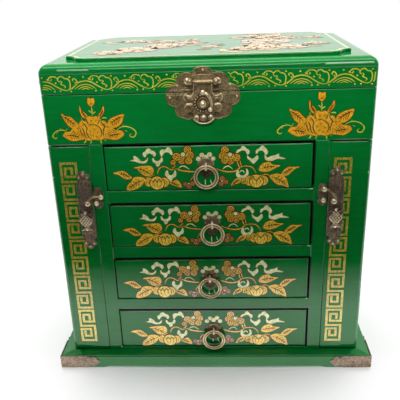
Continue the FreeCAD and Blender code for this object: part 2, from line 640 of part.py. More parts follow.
# ---- build -----------------------------------------------------------------
plinth()
corner_brackets()
carcass()
tray_section()
lid()
hinges()
lock()
for index, opening in enumerate(DRAWER_OPENINGS):
    drawer(index + 1, opening[0], opening[1], PULL_X[index], RING_DROP[index])
wings()
latch_keepers()
print(len(NODES), "sub-parts")
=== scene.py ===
import json
import math

import bpy
import numpy as np
from mathutils import Matrix, Vector, noise


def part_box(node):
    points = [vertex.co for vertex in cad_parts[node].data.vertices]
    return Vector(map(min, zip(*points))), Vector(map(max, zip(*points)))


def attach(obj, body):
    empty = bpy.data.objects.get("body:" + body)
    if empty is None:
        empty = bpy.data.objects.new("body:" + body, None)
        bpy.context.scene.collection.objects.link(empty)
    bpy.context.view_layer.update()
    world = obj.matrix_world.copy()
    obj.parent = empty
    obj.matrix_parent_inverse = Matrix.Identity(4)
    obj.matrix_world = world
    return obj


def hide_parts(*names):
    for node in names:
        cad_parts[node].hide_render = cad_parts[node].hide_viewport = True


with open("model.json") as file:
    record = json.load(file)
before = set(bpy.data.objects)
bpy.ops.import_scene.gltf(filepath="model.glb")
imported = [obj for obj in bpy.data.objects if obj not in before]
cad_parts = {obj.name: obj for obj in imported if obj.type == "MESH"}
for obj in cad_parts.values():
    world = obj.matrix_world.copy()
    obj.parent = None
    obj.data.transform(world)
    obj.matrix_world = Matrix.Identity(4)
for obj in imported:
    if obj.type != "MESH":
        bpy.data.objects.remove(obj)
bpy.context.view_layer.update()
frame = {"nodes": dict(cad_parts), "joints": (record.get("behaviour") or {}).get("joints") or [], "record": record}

MM = 0.001


def node_box(name):
    """A CAD node's lowest and highest corners, in millimetres."""
    low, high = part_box(name)
    return np.array(low) / MM, np.array(high) / MM


def node_centre(name):
    low, high = node_box(name)
    return (low + high) / 2


# ---- places taken from the frame -------------------------------------------
FRONT = node_box("tray_front")[0][1]                 # the lacquered front's plane
HALF_W = node_box("tray_front")[1][0]
LID_LOW = node_box("lid_front")[0][2]
PANEL_TOP = node_box("lid_panel")[1][2]
PLATE_FACE = node_box("lock_plate_lower")[0][1]      # front of the sheet brass
LOCK_X = float(node_centre("lock_plate_lower")[0])
KNOB = node_centre("lock_knob")
OPENING_HALF = 98.0
JOINTS = {joint["name"]: joint for joint in frame["joints"]}
DRAWERS = (1, 2, 3, 4)
SIDES = ("left", "right")


# ---- camera, floor and light -----------------------------------------------
def make_camera():
    """The viewpoint: a little above the lid, a hand's breadth right of centre."""
    place = Vector((19.44, -612.21, 388.73)) * MM
    yaw, pitch, roll = -0.0563, -0.3782, -0.0361
    lens = 51.49
    forward = Vector((math.sin(yaw) * math.cos(pitch), math.cos(yaw) * math.cos(pitch),
                      math.sin(pitch)))
    right = Vector((math.cos(yaw), -math.sin(yaw), 0))
    up = right.cross(forward)
    turned_right = math.cos(roll) * right + math.sin(roll) * up
    turned_up = -math.sin(roll) * right + math.cos(roll) * up
    rotation = Matrix((turned_right, turned_up, -forward)).transposed().to_4x4()
    data = bpy.data.cameras.new("camera")
    data.lens = lens
    data.sensor_width = 36.0
    data.clip_start = 0.01
    camera = bpy.data.objects.new("camera", data)
    camera.matrix_world = Matrix.Translation(place) @ rotation
    bpy.context.scene.collection.objects.link(camera)
    bpy.context.scene.camera = camera


def area_light(name, place, target, size, power, spread=180, mirrored=True):
    data = bpy.data.lights.new(name, "AREA")
    data.shape = "RECTANGLE"
    data.size, data.size_y = size
    data.energy = power
    data.spread = math.radians(spread)
    light = bpy.data.objects.new(name, data)
    light.location = place
    aim = Vector(target) - Vector(place)
    light.rotation_euler = aim.to_track_quat("-Z", "Y").to_euler()
    light.visible_glossy = mirrored
    bpy.context.scene.collection.objects.link(light)


def map_range(nodes, links, value, start, end, low=0.0, high=1.0):
    """A clamped ramp: low where the value is start, high where it is end."""
    node = nodes.new("ShaderNodeMapRange")
    for socket, number in zip(("From Min", "From Max", "To Min", "To Max"), (start, end, low, high)):
        node.inputs[socket].default_value = number
    links.new(value, node.inputs["Value"])
    return node.outputs[0]


def combine(nodes, links, operation, first, second):
    """Two values multiplied, or one taken from the other and clamped."""
    node = nodes.new("ShaderNodeMath")
    node.operation = operation
    node.use_clamp = operation == "SUBTRACT"
    links.new(first, node.inputs[0])
    links.new(second, node.inputs[1])
    return node.outputs[0]


def mix_shaders(nodes, links, amount, first, second):
    node = nodes.new("ShaderNodeMixShader")
    for socket, source in zip(node.inputs, (amount, first, second)):
        links.new(source, socket)
    return node.outputs[0]


def make_world():
    """Bright behind the chest and dim in front of it, but evenly white to the camera."""
    world = bpy.data.worlds.new("studio")
    bpy.context.scene.world = world
    world.use_nodes = True
    nodes, links = world.node_tree.nodes, world.node_tree.links
    background = nodes["Background"]
    split = nodes.new("ShaderNodeSeparateXYZ")
    links.new(nodes.new("ShaderNodeTexCoord").outputs["Generated"], split.inputs[0])
    room = map_range(nodes, links, split.outputs["Y"], -0.10, 0.60, 0.05, 1.0)
    seen = nodes.new("ShaderNodeMix")
    links.new(nodes.new("ShaderNodeLightPath").outputs["Is Camera Ray"], seen.inputs[0])
    links.new(room, seen.inputs[2])
    seen.inputs[3].default_value = 1.0
    links.new(seen.outputs[0], background.inputs["Strength"])
    background.inputs["Color"].default_value = (1, 1, 1, 1)


FLOOR_HALF = 6.0
GLOW_START, GLOW_FULL = -0.06, -0.12        # Y, forward from the chest
DIM_START, DIM_FULL = -0.21, -0.33          # Y, forward from the chest
SWEEP_START, SWEEP_FULL = 0.10, 0.36        # distance from the origin


def make_floor():
    """A pale sheet, shaded by kind of ray, so it is not a plain floor.

    The camera sees it run out to even white. Mirrored and bounced light instead meets an
    added glow close in front of the chest and a nearly black sheet farther forward. This
    was fitted to the closed chest: opened drawers hang over the black part and go dark.
    """
    half = FLOOR_HALF
    mesh = bpy.data.meshes.new("floor")
    mesh.from_pydata([(-half, -half, 0), (half, -half, 0), (half, half, 0), (-half, half, 0)], [],
                     [(0, 1, 2, 3)])
    floor = bpy.data.objects.new("floor", mesh)
    bpy.context.scene.collection.objects.link(floor)
    mat = bpy.data.materials.new("floor_white")
    mat.use_nodes = True
    nodes, links = mat.node_tree.nodes, mat.node_tree.links
    surface = nodes["Principled BSDF"]
    surface.inputs["Base Color"].default_value = (0.86, 0.86, 0.86, 1)
    surface.inputs["Roughness"].default_value = 0.9
    surface.inputs["Specular IOR Level"].default_value = 0.0
    place = nodes.new("ShaderNodeTexCoord").outputs["Object"]
    split = nodes.new("ShaderNodeSeparateXYZ")
    links.new(place, split.inputs[0])
    camera_ray = nodes.new("ShaderNodeLightPath").outputs["Is Camera Ray"]
    # hidden from the camera: the glow, then the black part
    glow = nodes.new("ShaderNodeEmission")
    near = map_range(nodes, links, split.outputs["Y"], GLOW_START, GLOW_FULL)
    links.new(combine(nodes, links, "SUBTRACT", near, camera_ray), glow.inputs["Strength"])
    lit = nodes.new("ShaderNodeAddShader")
    links.new(surface.outputs[0], lit.inputs[0])
    links.new(glow.outputs[0], lit.inputs[1])
    dim = nodes.new("ShaderNodeEmission")
    dim.inputs["Color"].default_value = (0.02, 0.02, 0.02, 1)
    far = map_range(nodes, links, split.outputs["Y"], DIM_START, DIM_FULL)
    unseen = mix_shaders(nodes, links, combine(nodes, links, "SUBTRACT", far, camera_ray),
                         lit.outputs[0], dim.outputs[0])
    # seen by the camera alone: the run-out to white
    sweep = nodes.new("ShaderNodeEmission")
    reach = nodes.new("ShaderNodeVectorMath")
    reach.operation = "LENGTH"
    links.new(place, reach.inputs[0])
    outer = map_range(nodes, links, reach.outputs["Value"], SWEEP_START, SWEEP_FULL)
    shown = mix_shaders(nodes, links, combine(nodes, links, "MULTIPLY", outer, camera_ray),
                        unseen, sweep.outputs[0])
    links.new(shown, nodes["Material Output"].inputs["Surface"])
    mesh.materials.append(mat)


def make_studio():
    """The lights; the key hangs close in front and is aimed at the tray and lid."""
    make_camera()
    make_world()
    make_floor()
    area_light("key", (0.06, -0.275, 0.425), (0.06, -0.105, 0.285), (0.50, 0.10), 0.18, spread=46)
    area_light("top", (0.0, 0.40, 1.5), (0, 0.0, 0.0), (1.8, 1.0), 36.0, mirrored=False)
    area_light("overhead", (0.0, -0.25, 1.2), (0.0, -0.10, 0.2), (1.3, 0.25), 4.8)
    area_light("left_fill", (-1.3, -0.1, 0.6), (0, 0, 0.15), (0.8, 0.9), 1.5, mirrored=False)
    area_light("right_fill", (1.3, -0.1, 0.6), (0, 0, 0.15), (0.8, 0.9), 2.0, mirrored=False)
    bpy.context.scene.view_settings.view_transform = "Standard"


# ---- materials -------------------------------------------------------------
class Graph:
    """A material's node graph, fed with coordinates in metres."""

    def __init__(self, name):
        self.mat = bpy.data.materials.new(name)
        self.mat.use_nodes = True
        self.nodes = self.mat.node_tree.nodes
        self.links = self.mat.node_tree.links
        self.surface = self.nodes["Principled BSDF"]
        self.place = self.nodes.new("ShaderNodeTexCoord").outputs["Object"]

    def constant(self, **values):
        for name, value in values.items():
            socket = self.surface.inputs[name.replace("_", " ")]
            socket.default_value = (*value, 1.0) if isinstance(value, tuple) else value

    def feed(self, name, output):
        self.links.new(output, self.surface.inputs[name])

    def put(self, socket, value):
        if isinstance(value, bpy.types.NodeSocket):
            self.links.new(value, socket)
        elif isinstance(value, tuple):
            socket.default_value = (*value, 1.0)
        else:
            socket.default_value = value

    def stretched(self, scale):
        mapping = self.nodes.new("ShaderNodeMapping")
        mapping.inputs["Scale"].default_value = scale
        self.links.new(self.place, mapping.inputs["Vector"])
        return mapping.outputs[0]

    def noise(self, scale, detail=3.0, rough=0.55, stretch=(1, 1, 1), warp=0.0):
        node = self.nodes.new("ShaderNodeTexNoise")
        node.inputs["Scale"].default_value = scale
        node.inputs["Detail"].default_value = detail
        node.inputs["Roughness"].default_value = rough
        node.inputs["Distortion"].default_value = warp
        self.links.new(self.stretched(stretch), node.inputs["Vector"])
        return node.outputs[0]

    def cells(self, scale, stretch=(1, 1, 1)):
        node = self.nodes.new("ShaderNodeTexVoronoi")
        node.inputs["Scale"].default_value = scale
        self.links.new(self.stretched(stretch), node.inputs["Vector"])
        return node.outputs["Distance"]

    def wave(self, scale, stretch=(1, 1, 1), warp=0.0, direction="X"):
        node = self.nodes.new("ShaderNodeTexWave")
        node.bands_direction = direction
        node.inputs["Scale"].default_value = scale
        node.inputs["Distortion"].default_value = warp
        self.links.new(self.stretched(stretch), node.inputs["Vector"])
        return node.outputs["Fac"]

    def ramp(self, value, *stops):
        node = self.nodes.new("ShaderNodeValToRGB")
        while len(node.color_ramp.elements) < len(stops):
            node.color_ramp.elements.new(0.5)
        for element, (position, colour) in zip(node.color_ramp.elements, stops):
            element.position = position
            element.color = (*colour, 1.0) if isinstance(colour, tuple) else (colour,) * 3 + (1.0,)
        self.links.new(value, node.inputs[0])
        return node.outputs[0]

    def mix(self, factor, first, second, kind="MIX"):
        node = self.nodes.new("ShaderNodeMix")
        node.data_type = "RGBA"
        node.blend_type = kind
        self.put(node.inputs[0], factor)
        self.put(node.inputs[6], first)
        self.put(node.inputs[7], second)
        return node.outputs[2]

    def level(self, value, low, high):
        """Maps 0..1 to low..high."""
        node = self.nodes.new("ShaderNodeMapRange")
        node.inputs["To Min"].default_value = low
        node.inputs["To Max"].default_value = high
        self.links.new(value, node.inputs["Value"])
        return node.outputs[0]

    def bump(self, height, strength, distance, under=None):
        node = self.nodes.new("ShaderNodeBump")
        node.inputs["Strength"].default_value = strength
        node.inputs["Distance"].default_value = distance
        self.links.new(height, node.inputs["Height"])
        if under is not None:
            self.links.new(under, node.inputs["Normal"])
        return node.outputs[0]

    def rounded(self, radius):
        node = self.nodes.new("ShaderNodeBevel")
        node.samples = 4
        node.inputs["Radius"].default_value = radius
        return node.outputs[0]


def lacquer():
    """Green gloss lacquer: brushed, uneven, slightly rippled, with a few pale specks."""
    g = Graph("green_lacquer")
    cloudy = g.noise(9.0, 4.0, 0.6)
    brushed = g.noise(30.0, 3.0, 0.6, stretch=(1.0, 1.0, 9.0))
    base = g.ramp(cloudy, (0.30, (0.0006, 0.128, 0.014)), (0.70, (0.0012, 0.178, 0.030)))
    base = g.mix(g.ramp(brushed, (0.35, 0.0), (0.75, 0.35)), base, (0.001, 0.215, 0.038))
    specks = g.ramp(g.cells(260.0), (0.0, 1.0), (0.045, 0.0))
    patches = g.ramp(g.noise(35.0, 2.0), (0.58, 0.0), (0.66, 0.7))
    base = g.mix(g.mix(1.0, specks, patches, "MULTIPLY"), base, (0.20, 0.34, 0.20))
    g.feed("Base Color", base)
    g.feed("Roughness", g.level(g.noise(14.0, 4.0), 0.22, 0.42))
    g.constant(Coat_Weight=1.0, Coat_Roughness=0.035, Coat_IOR=1.5, Specular_IOR_Level=0.0)
    ripple = g.noise(38.0, 2.0, 0.5)
    peel = g.noise(420.0, 2.0, 0.5)
    normal = g.bump(ripple, 0.10, 0.004, under=g.rounded(0.0011))
    g.feed("Normal", g.bump(peel, 0.05, 0.0004, under=normal))
    g.links.new(g.bump(ripple, 0.06, 0.004, under=g.rounded(0.0011)), g.surface.inputs["Coat Normal"])
    return g.mat


def paint(name, dark, light, rough=0.42, scale=160.0, metallic=0.0):
    """Hand-laid paint: two tones that drift, thin in places, with a faint brush grain."""
    g = Graph(name)
    drift = g.noise(scale, 3.0, 0.6)
    grain = g.noise(900.0, 2.0, 0.6, stretch=(1.0, 1.0, 0.4))
    tone = g.ramp(drift, (0.32, dark), (0.68, light))
    shade = g.ramp(grain, (0.25, 0.90), (0.60, 1.0))
    g.feed("Base Color", g.mix(1.0, tone, shade, "MULTIPLY"))
    g.feed("Roughness", g.level(grain, rough - 0.08, rough + 0.10))
    g.constant(Metallic=metallic, Coat_Weight=1.0, Coat_Roughness=0.06, Coat_IOR=1.75, Specular_IOR_Level=0.1)
    g.feed("Normal", g.bump(grain, 0.08, 0.0002))
    return g.mat


def brass(name, dark, light, rough):
    """Antiqued brass: brown patina in the lows, rubbed pale on the highs, finely pitted."""
    g = Graph(name)
    patina_and_gap_shade = g.noise(160.0, 5.0, 0.7, warp=0.4)
    pits = g.noise(800.0, 3.0, 0.75)
    tone = g.ramp(patina_and_gap_shade, (0.30, dark), (0.70, light))
    tone = g.mix(g.ramp(pits, (0.30, 0.85), (0.47, 0.0)), tone, (0.035, 0.022, 0.010))
    rubbed = g.ramp(pits, (0.56, 0.0), (0.70, 0.75))
    tone = g.mix(rubbed, tone, tuple(min(1.0, 1.7 * v) for v in light))
    g.feed("Base Color", tone)
    g.feed("Roughness", g.level(patina_and_gap_shade, rough - 0.08, rough + 0.16))
    g.constant(Metallic=0.75)
    g.feed("Normal", g.bump(pits, 0.45, 0.0003, under=g.rounded(0.0003)))
    return g.mat


def wood():
    """Plain sawn softwood with straight grain running front to back."""
    g = Graph("bare_wood")
    rings = g.wave(26.0, stretch=(1.0, 0.08, 1.0), warp=5.0)
    fibre = g.noise(500.0, 3.0, 0.6, stretch=(1.0, 0.05, 1.0))
    tone = g.ramp(rings, (0.1, (0.36, 0.20, 0.09)), (0.9, (0.50, 0.31, 0.16)))
    g.feed("Base Color", g.mix(g.ramp(fibre, (0.3, 0.35), (0.7, 0.0)), tone, (0.22, 0.11, 0.05)))
    g.feed("Roughness", g.level(fibre, 0.5, 0.7))
    g.feed("Normal", g.bump(fibre, 0.3, 0.0003))
    return g.mat


def velvet():
    """Deep red velvet: dense short pile with sheen and hand-brushed patches."""
    g = Graph("red_velvet")
    brushed = g.noise(40.0, 4.0, 0.6, warp=0.8)
    pile = g.noise(2600.0, 2.0, 0.7)
    tone = g.ramp(brushed, (0.35, (0.13, 0.004, 0.010)), (0.65, (0.24, 0.010, 0.018)))
    g.feed("Base Color", g.mix(g.ramp(pile, (0.3, 0.5), (0.6, 0.0)), tone, (0.05, 0.002, 0.004)))
    g.feed("Roughness", g.level(pile, 0.75, 0.95))
    g.constant(Sheen_Weight=0.8, Sheen_Roughness=0.35, Sheen_Tint=(0.95, 0.45, 0.45),
               Specular_IOR_Level=0.2)
    g.feed("Normal", g.bump(pile, 0.5, 0.0004))
    return g.mat


def looking_glass():
    g = Graph("looking_glass")
    haze = g.noise(25.0, 3.0)
    g.feed("Base Color", g.ramp(haze, (0.3, (0.84, 0.87, 0.87)), (0.7, (0.90, 0.92, 0.92))))
    g.feed("Roughness", g.level(haze, 0.015, 0.05))
    g.constant(Metallic=1.0)
    return g.mat


def bare_filler():
    """Chalky undercoat that shows where the lacquer has chipped."""
    g = Graph("chipped_undercoat")
    crumbs = g.noise(700.0, 4.0, 0.65)
    g.feed("Base Color", g.ramp(crumbs, (0.35, (0.45, 0.58, 0.42)), (0.6, (0.80, 0.84, 0.74))))
    g.feed("Roughness", g.level(crumbs, 0.6, 0.9))
    g.feed("Normal", g.bump(crumbs, 0.5, 0.0003))
    return g.mat


MATERIALS = {
    "lacquer": lacquer(),
    "bare_wood": wood(),
    "brass": brass("antique_brass", (0.10, 0.065, 0.025), (0.44, 0.33, 0.17), 0.38),
    # the pale copy is rubbed brass and also painted highlight on balls, knob, nails and hooks
    "bright_brass": brass("rubbed_and_highlight_brass", (0.55, 0.42, 0.22), (0.92, 0.78, 0.54), 0.30),
    # the dark copy serves, among other uses, as painted shade on the pull plates' lower side
    "dark_brass": brass("dark_brass", (0.035, 0.021, 0.009), (0.13, 0.085, 0.040), 0.48),
    "plate_brass": brass("latch_brass", (0.075, 0.048, 0.030), (0.33, 0.25, 0.185), 0.40),
    # paler brass for the ring's beads, as painted highlight on its rims
    "ring_brass": brass("ring_brass", (0.58, 0.44, 0.20), (0.95, 0.80, 0.50), 0.28),
    "steel_pin": brass("dull_steel", (0.22, 0.21, 0.20), (0.42, 0.41, 0.39), 0.34),
    "lining": velvet(),
    "mirror": looking_glass(),
    "chip": bare_filler(),
    "gold": paint("key_gold", (0.43, 0.345, 0.028), (0.60, 0.48, 0.07), 0.26, 90.0, 0.40),
    "amber": paint("amber_paint", (0.86, 0.46, 0.020), (1.0, 0.68, 0.075), 0.26, 260.0, 0.25),
    "yellow": paint("yellow_paint", (0.92, 0.58, 0.030), (1.0, 0.76, 0.12), 0.26, 260.0, 0.25),
    "orange": paint("lotus_paint", (0.80, 0.36, 0.010), (1.0, 0.54, 0.035), 0.28, 200.0, 0.25),
    "peach": paint("peach_paint", (0.55, 0.26, 0.09), (0.80, 0.50, 0.22), 0.32, 220.0, 0.4),
    "rose": paint("rose_paint", (0.62, 0.27, 0.045), (0.86, 0.46, 0.13), 0.32, 220.0, 0.25),
    "cream": paint("cream_paint", (0.58, 0.64, 0.26), (0.98, 0.98, 0.56), 0.30, 260.0, 0.15),
    "cream_gold": paint("border_yellow", (0.62, 0.52, 0.10), (0.85, 0.78, 0.25), 0.3, 90.0, 0.3),
    "tan": paint("tan_paint", (0.42, 0.24, 0.06), (0.66, 0.42, 0.14), 0.3, 240.0, 0.5),
    "brown": paint("brown_outline", (0.030, 0.010, 0.003), (0.085, 0.030, 0.008), 0.4, 240.0),
    "rust": paint("rust_outline", (0.11, 0.035, 0.005), (0.22, 0.080, 0.012), 0.4, 240.0),
    "lime": paint("lime_line", (0.46, 0.50, 0.03), (0.86, 0.80, 0.08), 0.32, 120.0, 0.3),
    # painted highlight along the top edges of the drawers, wings and tray
    "edge_highlight": paint("painted_edge_highlight", (0.16, 0.22, 0.12), (0.34, 0.36, 0.24), 0.5, 300.0),
    # painted shade: near-black paint for the drawer gaps and the lock plate's split
    "patina_and_gap_shade": paint("painted_gap_shade", (0.002, 0.004, 0.002), (0.006, 0.010, 0.006), 0.8, 90.0),
}

SLOT_LOOKS = {"lacquer": "lacquer", "bare_wood": "bare_wood", "antique_brass": "brass",
              "steel_pin": "steel_pin", "lining": "lining", "mirror": "mirror"}


# the knob takes the pale brass, partly as painted highlight
NODE_LOOKS = {"lock_knob": "bright_brass", "hasp_pin": "brass",
              "wing_left_latch_plate": "plate_brass", "wing_right_latch_plate": "plate_brass",
              "latch_keepers": "plate_brass", "base_corner_brackets": "plate_brass"}


def dress_nodes():
    """Every carried-over CAD node takes the finish of its slot, or the look NODE_LOOKS gives it."""
    slots = {part["node"]: part["material_slot"] for part in frame["record"]["subparts"]}
    for name, node in frame["nodes"].items():
        look = MATERIALS[NODE_LOOKS.get(name, SLOT_LOOKS[slots[name]])]
        for slot in node.material_slots:
            slot.material = look


# ---- mesh building ---------------------------------------------------------
def smooth_line(points, steps=6, closed=False):
    """Catmull-Rom through the points, in any number of dimensions."""
    pts = np.array(points, dtype=float)
    count = len(pts)
    if count < 3 and not closed:
        return pts
    if closed:
        padded = np.vstack([pts[-1], pts, pts[0], pts[1]])
        spans = count
    else:
        padded = np.vstack([2 * pts[0] - pts[1], pts, 2 * pts[-1] - pts[-2]])
        spans = count - 1
    out = []
    for i in range(spans):
        a, b, c, d = padded[i:i + 4]
        for k in range(steps):
            t = k / steps
            out.append(0.5 * (2 * b + (c - a) * t + (2 * a - 5 * b + 4 * c - d) * t * t
                              + (3 * b - a - 3 * c + d) * t ** 3))
    if not closed:
        out.append(pts[-1])
    return np.array(out)


class Face:
    """A flat face of the chest: maps (u, v, height), in millimetres, to space."""

    def __init__(self, origin, right, up):
        self.origin = np.array(origin, dtype=float)
        self.right = np.array(right, dtype=float)
        self.up = np.array(up, dtype=float)
        self.out = np.cross(self.right, self.up)

    def at(self, uv, height):
        uv = np.atleast_2d(uv)
        height = np.broadcast_to(np.asarray(height, dtype=float), len(uv))
        return (self.origin + uv[:, :1] * self.right + uv[:, 1:2] * self.up
                + height[:, None] * self.out)


class Build:
    """Collects vertices and faces with materials, then becomes one object."""

    def __init__(self, name, body, slot):
        self.name, self.body, self.slot = name, body, slot
        self.points, self.faces, self.looks = [], [], []
        self.used = []
        self.smooth = []

    def add(self, points, faces, look, smooth=False):
        start = len(self.points)
        self.points.extend(np.asarray(points).tolist())
        if look not in self.used:
            self.used.append(look)
        index = self.used.index(look)
        for face in faces:
            self.faces.append([start + i for i in face])
            self.looks.append(index)
            self.smooth.append(smooth)

    def done(self, replaces=()):
        mesh = bpy.data.meshes.new(self.name)
        mesh.from_pydata([Vector(p) * MM for p in self.points], [], self.faces)
        for look in self.used:
            mesh.materials.append(MATERIALS[look])
        mesh.polygons.foreach_set("material_index", self.looks)
        mesh.polygons.foreach_set("use_smooth", self.smooth)
        mesh.update()
        piece = bpy.data.objects.new(self.name, mesh)
        bpy.context.scene.collection.objects.link(piece)
        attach(piece, self.body)
        if replaces:
            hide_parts(*replaces)
        return piece


PAINT_THICK = 0.10
LAYER = 0.05


class Painting(Build):
    """Thin closed shapes of paint on one face."""

    def __init__(self, name, body, face):
        super().__init__(name, body, "lacquer")
        self.face = face

    def fill(self, outline, look, layer=0):
        outline = np.array(outline, dtype=float)
        shifted = np.roll(outline, -1, axis=0)
        area = np.sum(outline[:, 0] * shifted[:, 1] - shifted[:, 0] * outline[:, 1])
        if area < 0:
            outline = outline[::-1]
        n = len(outline)
        top = self.face.at(outline, PAINT_THICK + layer * LAYER)
        low = self.face.at(outline, 0.01)
        faces = [list(range(n)), list(range(2 * n - 1, n - 1, -1))]
        faces += [[i, n + i, n + (i + 1) % n, (i + 1) % n] for i in range(n)]
        self.add(np.vstack([top, low]), faces, look)

    def disc(self, centre, radius, look, layer=0, squash=1.0, turn=0.0, count=18):
        angles = np.arange(count) * 2 * math.pi / count
        u, v = radius * np.cos(angles), radius * squash * np.sin(angles)
        c, s = math.cos(turn), math.sin(turn)
        ring = np.column_stack([centre[0] + u * c - v * s, centre[1] + u * s + v * c])
        self.fill(ring, look, layer)

    def stroke(self, points, width, look, layer=1, steps=6, taper=(0.35, 0.35), closed=False,
               sharp=False):
        """A brush line: full width in its middle, thinner at its ends."""
        line = np.array(points, dtype=float) if sharp else smooth_line(points, steps, closed)
        if closed:
            ahead, behind = np.roll(line, -1, axis=0), np.roll(line, 1, axis=0)
            tangent = ahead - behind
        else:
            tangent = np.gradient(line, axis=0)
        tangent /= np.maximum(np.linalg.norm(tangent, axis=1, keepdims=True), 1e-9)
        normal = np.column_stack([-tangent[:, 1], tangent[:, 0]])
        t = np.linspace(0, 1, len(line))
        if closed:
            half = np.full(len(line), width / 2)
        else:
            rise = np.minimum(1, t / 0.25) * (1 - taper[0]) + taper[0]
            fall = np.minimum(1, (1 - t) / 0.25) * (1 - taper[1]) + taper[1]
            half = width / 2 * np.minimum(rise, fall)
        left, right = line + normal * half[:, None], line - normal * half[:, None]
        height = PAINT_THICK + layer * LAYER
        n = len(line)
        rows = [self.face.at(left, height), self.face.at(right, height),
                self.face.at(right, 0.01), self.face.at(left, 0.01)]
        faces = []
        for i in range(n if closed else n - 1):
            j = (i + 1) % n
            for a, b in ((0, 1), (1, 2), (2, 3), (3, 0)):
                faces.append([a * n + i, b * n + i, b * n + j, a * n + j])
        if not closed:
            faces.append([3 * n, 2 * n, n, 0])
            faces.append([n - 1, 2 * n - 1, 3 * n - 1, 4 * n - 1])
        self.add(np.vstack(rows), faces, look)

    def outlined(self, points, look, edge="brown", grow=0.55, steps=5, layer=0):
        """A filled shape with a dark painted edge round it."""
        line = smooth_line(points, steps, closed=True)
        self.fill(line, look, layer + 1)
        self.stroke(line, grow * 2, edge, layer, closed=True, sharp=True)


# ---- painted decoration ----------------------------------------------------
FRONT_FACE = Face((0, FRONT, 0), (1, 0, 0), (0, 0, 1))
DRAWER_Y = node_box("drawer_1_front")[0][1]
DRAWER_FACE = Face((0, DRAWER_Y, 0), (1, 0, 0), (0, 0, 1))
RIGHT_FACE = Face((HALF_W, 0, 0), (0, 1, 0), (0, 0, 1))
LEFT_FACE = Face((-HALF_W, 0, 0), (0, -1, 0), (0, 0, 1))
TOP_FACE = Face((0, 0, PANEL_TOP), (1, 0, 0), (0, 1, 0))


def moved(points, du, dv):
    return [(u + du, v + dv) for u, v in points]


def placed(points, du, dv, scale=1.0, turn=0.0):
    c, s = math.cos(turn) * scale, math.sin(turn) * scale
    return [(u * c - v * s + du, u * s + v * c + dv) for u, v in points]


def clipped(points, low, high, steps=6):
    """The stretch of a smooth line whose first coordinate is between two limits."""
    return [tuple(p) for p in smooth_line(points, steps) if low <= p[0] <= high]


KEY_WIDTH = 2.3
KEY_PERIOD = 40.4
KEY_UNIT = [(-3.6, 11.3), (-3.6, 5.6), (2.6, 5.6), (2.6, 14.1), (-7.3, 14.1), (-7.3, 0.0),
            (7.1, 0.0), (7.1, 18.1), (-7.3, 18.1), (-7.3, 36.6), (7.1, 36.6), (7.1, 23.3),
            (-3.6, 23.3), (-3.6, 31.6), (2.7, 31.6), (2.7, 26.3)]


END_OVERRUN = 0.9


def right_angle_band(painting, points, width, look):
    """A square-cornered line as one closed outline, mitred at its corners."""
    line = np.array(points, dtype=float)
    step = np.diff(line, axis=0)
    step /= np.linalg.norm(step, axis=1, keepdims=True)
    side = np.column_stack([-step[:, 1], step[:, 0]])
    last = len(step) - 1
    left, right = [], []
    for i, point in enumerate(line):
        if 0 < i <= last:
            across, along = side[i - 1] + side[i], np.zeros(2)
        else:
            end = min(i, last)
            across, along = side[end], step[end] * (END_OVERRUN if i else -END_OVERRUN)
        left.append(point + (along + across) * width / 2)
        right.append(point + (along - across) * width / 2)
    painting.fill(left + right[::-1], look)


def key_bands():
    """The square-spiral bands down both wing fronts."""
    for side, centre_x, low_z in (("left", -132.4, 27.7), ("right", 124.2, 27.4)):
        painting = Painting("key_band_" + side, "wing_" + side, FRONT_FACE)
        for i in range(5):
            right_angle_band(painting, moved(KEY_UNIT, centre_x, low_z + i * KEY_PERIOD),
                             KEY_WIDTH, "gold")
        painting.done()


def petal(painting, centre, radius, look="amber", squash=1.0, turn=0.0, layer=0, edge=0.6):
    """One rounded petal with a painted edge."""
    painting.disc(centre, radius + edge, "brown", layer, squash, turn)
    painting.disc(centre, radius, look, layer + 1, squash, turn)


def spotted_flower(painting, petals, heart, heart_r, look="yellow"):
    """Overlapping scalloped petals with freckles round a pale heart."""
    for index, (u, v, r) in enumerate(petals):
        petal(painting, (u, v), r, look, layer=index % 3, edge=1.0)
        painting.disc((u, v), 0.78 * r, "rust", 3)
        painting.disc((u, v), 0.78 * r - 0.55, look, 4)
    for index, (u, v, r) in enumerate(petals):
        for k in range(4):
            angle = (k + 0.3 * index) * 2 * math.pi / 4
            spot = (u + 0.36 * r * math.cos(angle), v + 0.36 * r * math.sin(angle))
            painting.disc(spot, 0.19 * r, "brown", 5, count=8)
    painting.disc(heart, heart_r + 0.6, "brown", 5)
    painting.disc(heart, heart_r, "cream", 6)


def reach_to_edge(outline, origin, direction):
    """How far a line runs from origin before it leaves a closed outline."""
    ends = np.roll(outline, -1, axis=0)
    best = 60.0
    for a, b in zip(outline, ends):
        span = b - a
        cross = direction[0] * span[1] - direction[1] * span[0]
        if abs(cross) < 1e-9:
            continue
        gap = a - origin
        along = (gap[0] * span[1] - gap[1] * span[0]) / cross
        place = (gap[0] * direction[1] - gap[1] * direction[0]) / cross
        if along > 0 and 0 <= place <= 1:
            best = min(best, along)
    return best


def veined_leaf(painting, outline, vein, look="amber", layer=0):
    """A leaf with a midrib and side veins."""
    painting.outlined(outline, look, grow=0.6, layer=layer)
    painting.stroke(vein, 0.85, "brown", layer + 3, taper=(0.4, 0.15))
    edge = smooth_line(outline, 4, closed=True)
    rib = smooth_line(vein, 8)
    for share in (0.22, 0.42, 0.62, 0.80):
        index = int(share * (len(rib) - 2))
        ahead = rib[index + 1] - rib[index]
        heading = math.atan2(ahead[1], ahead[0])
        for side in (-1, 1):
            way = np.array([math.cos(heading + side * 0.85), math.sin(heading + side * 0.85)])
            reach = 0.72 * reach_to_edge(edge, rib[index], way)
            if 0.8 < reach < 9:
                painting.stroke([rib[index], rib[index] + way * reach * 0.55 + ahead * 0.2,
                                 rib[index] + way * reach], 0.5, "brown", layer + 3, steps=3,
                                taper=(0.6, 0.2))


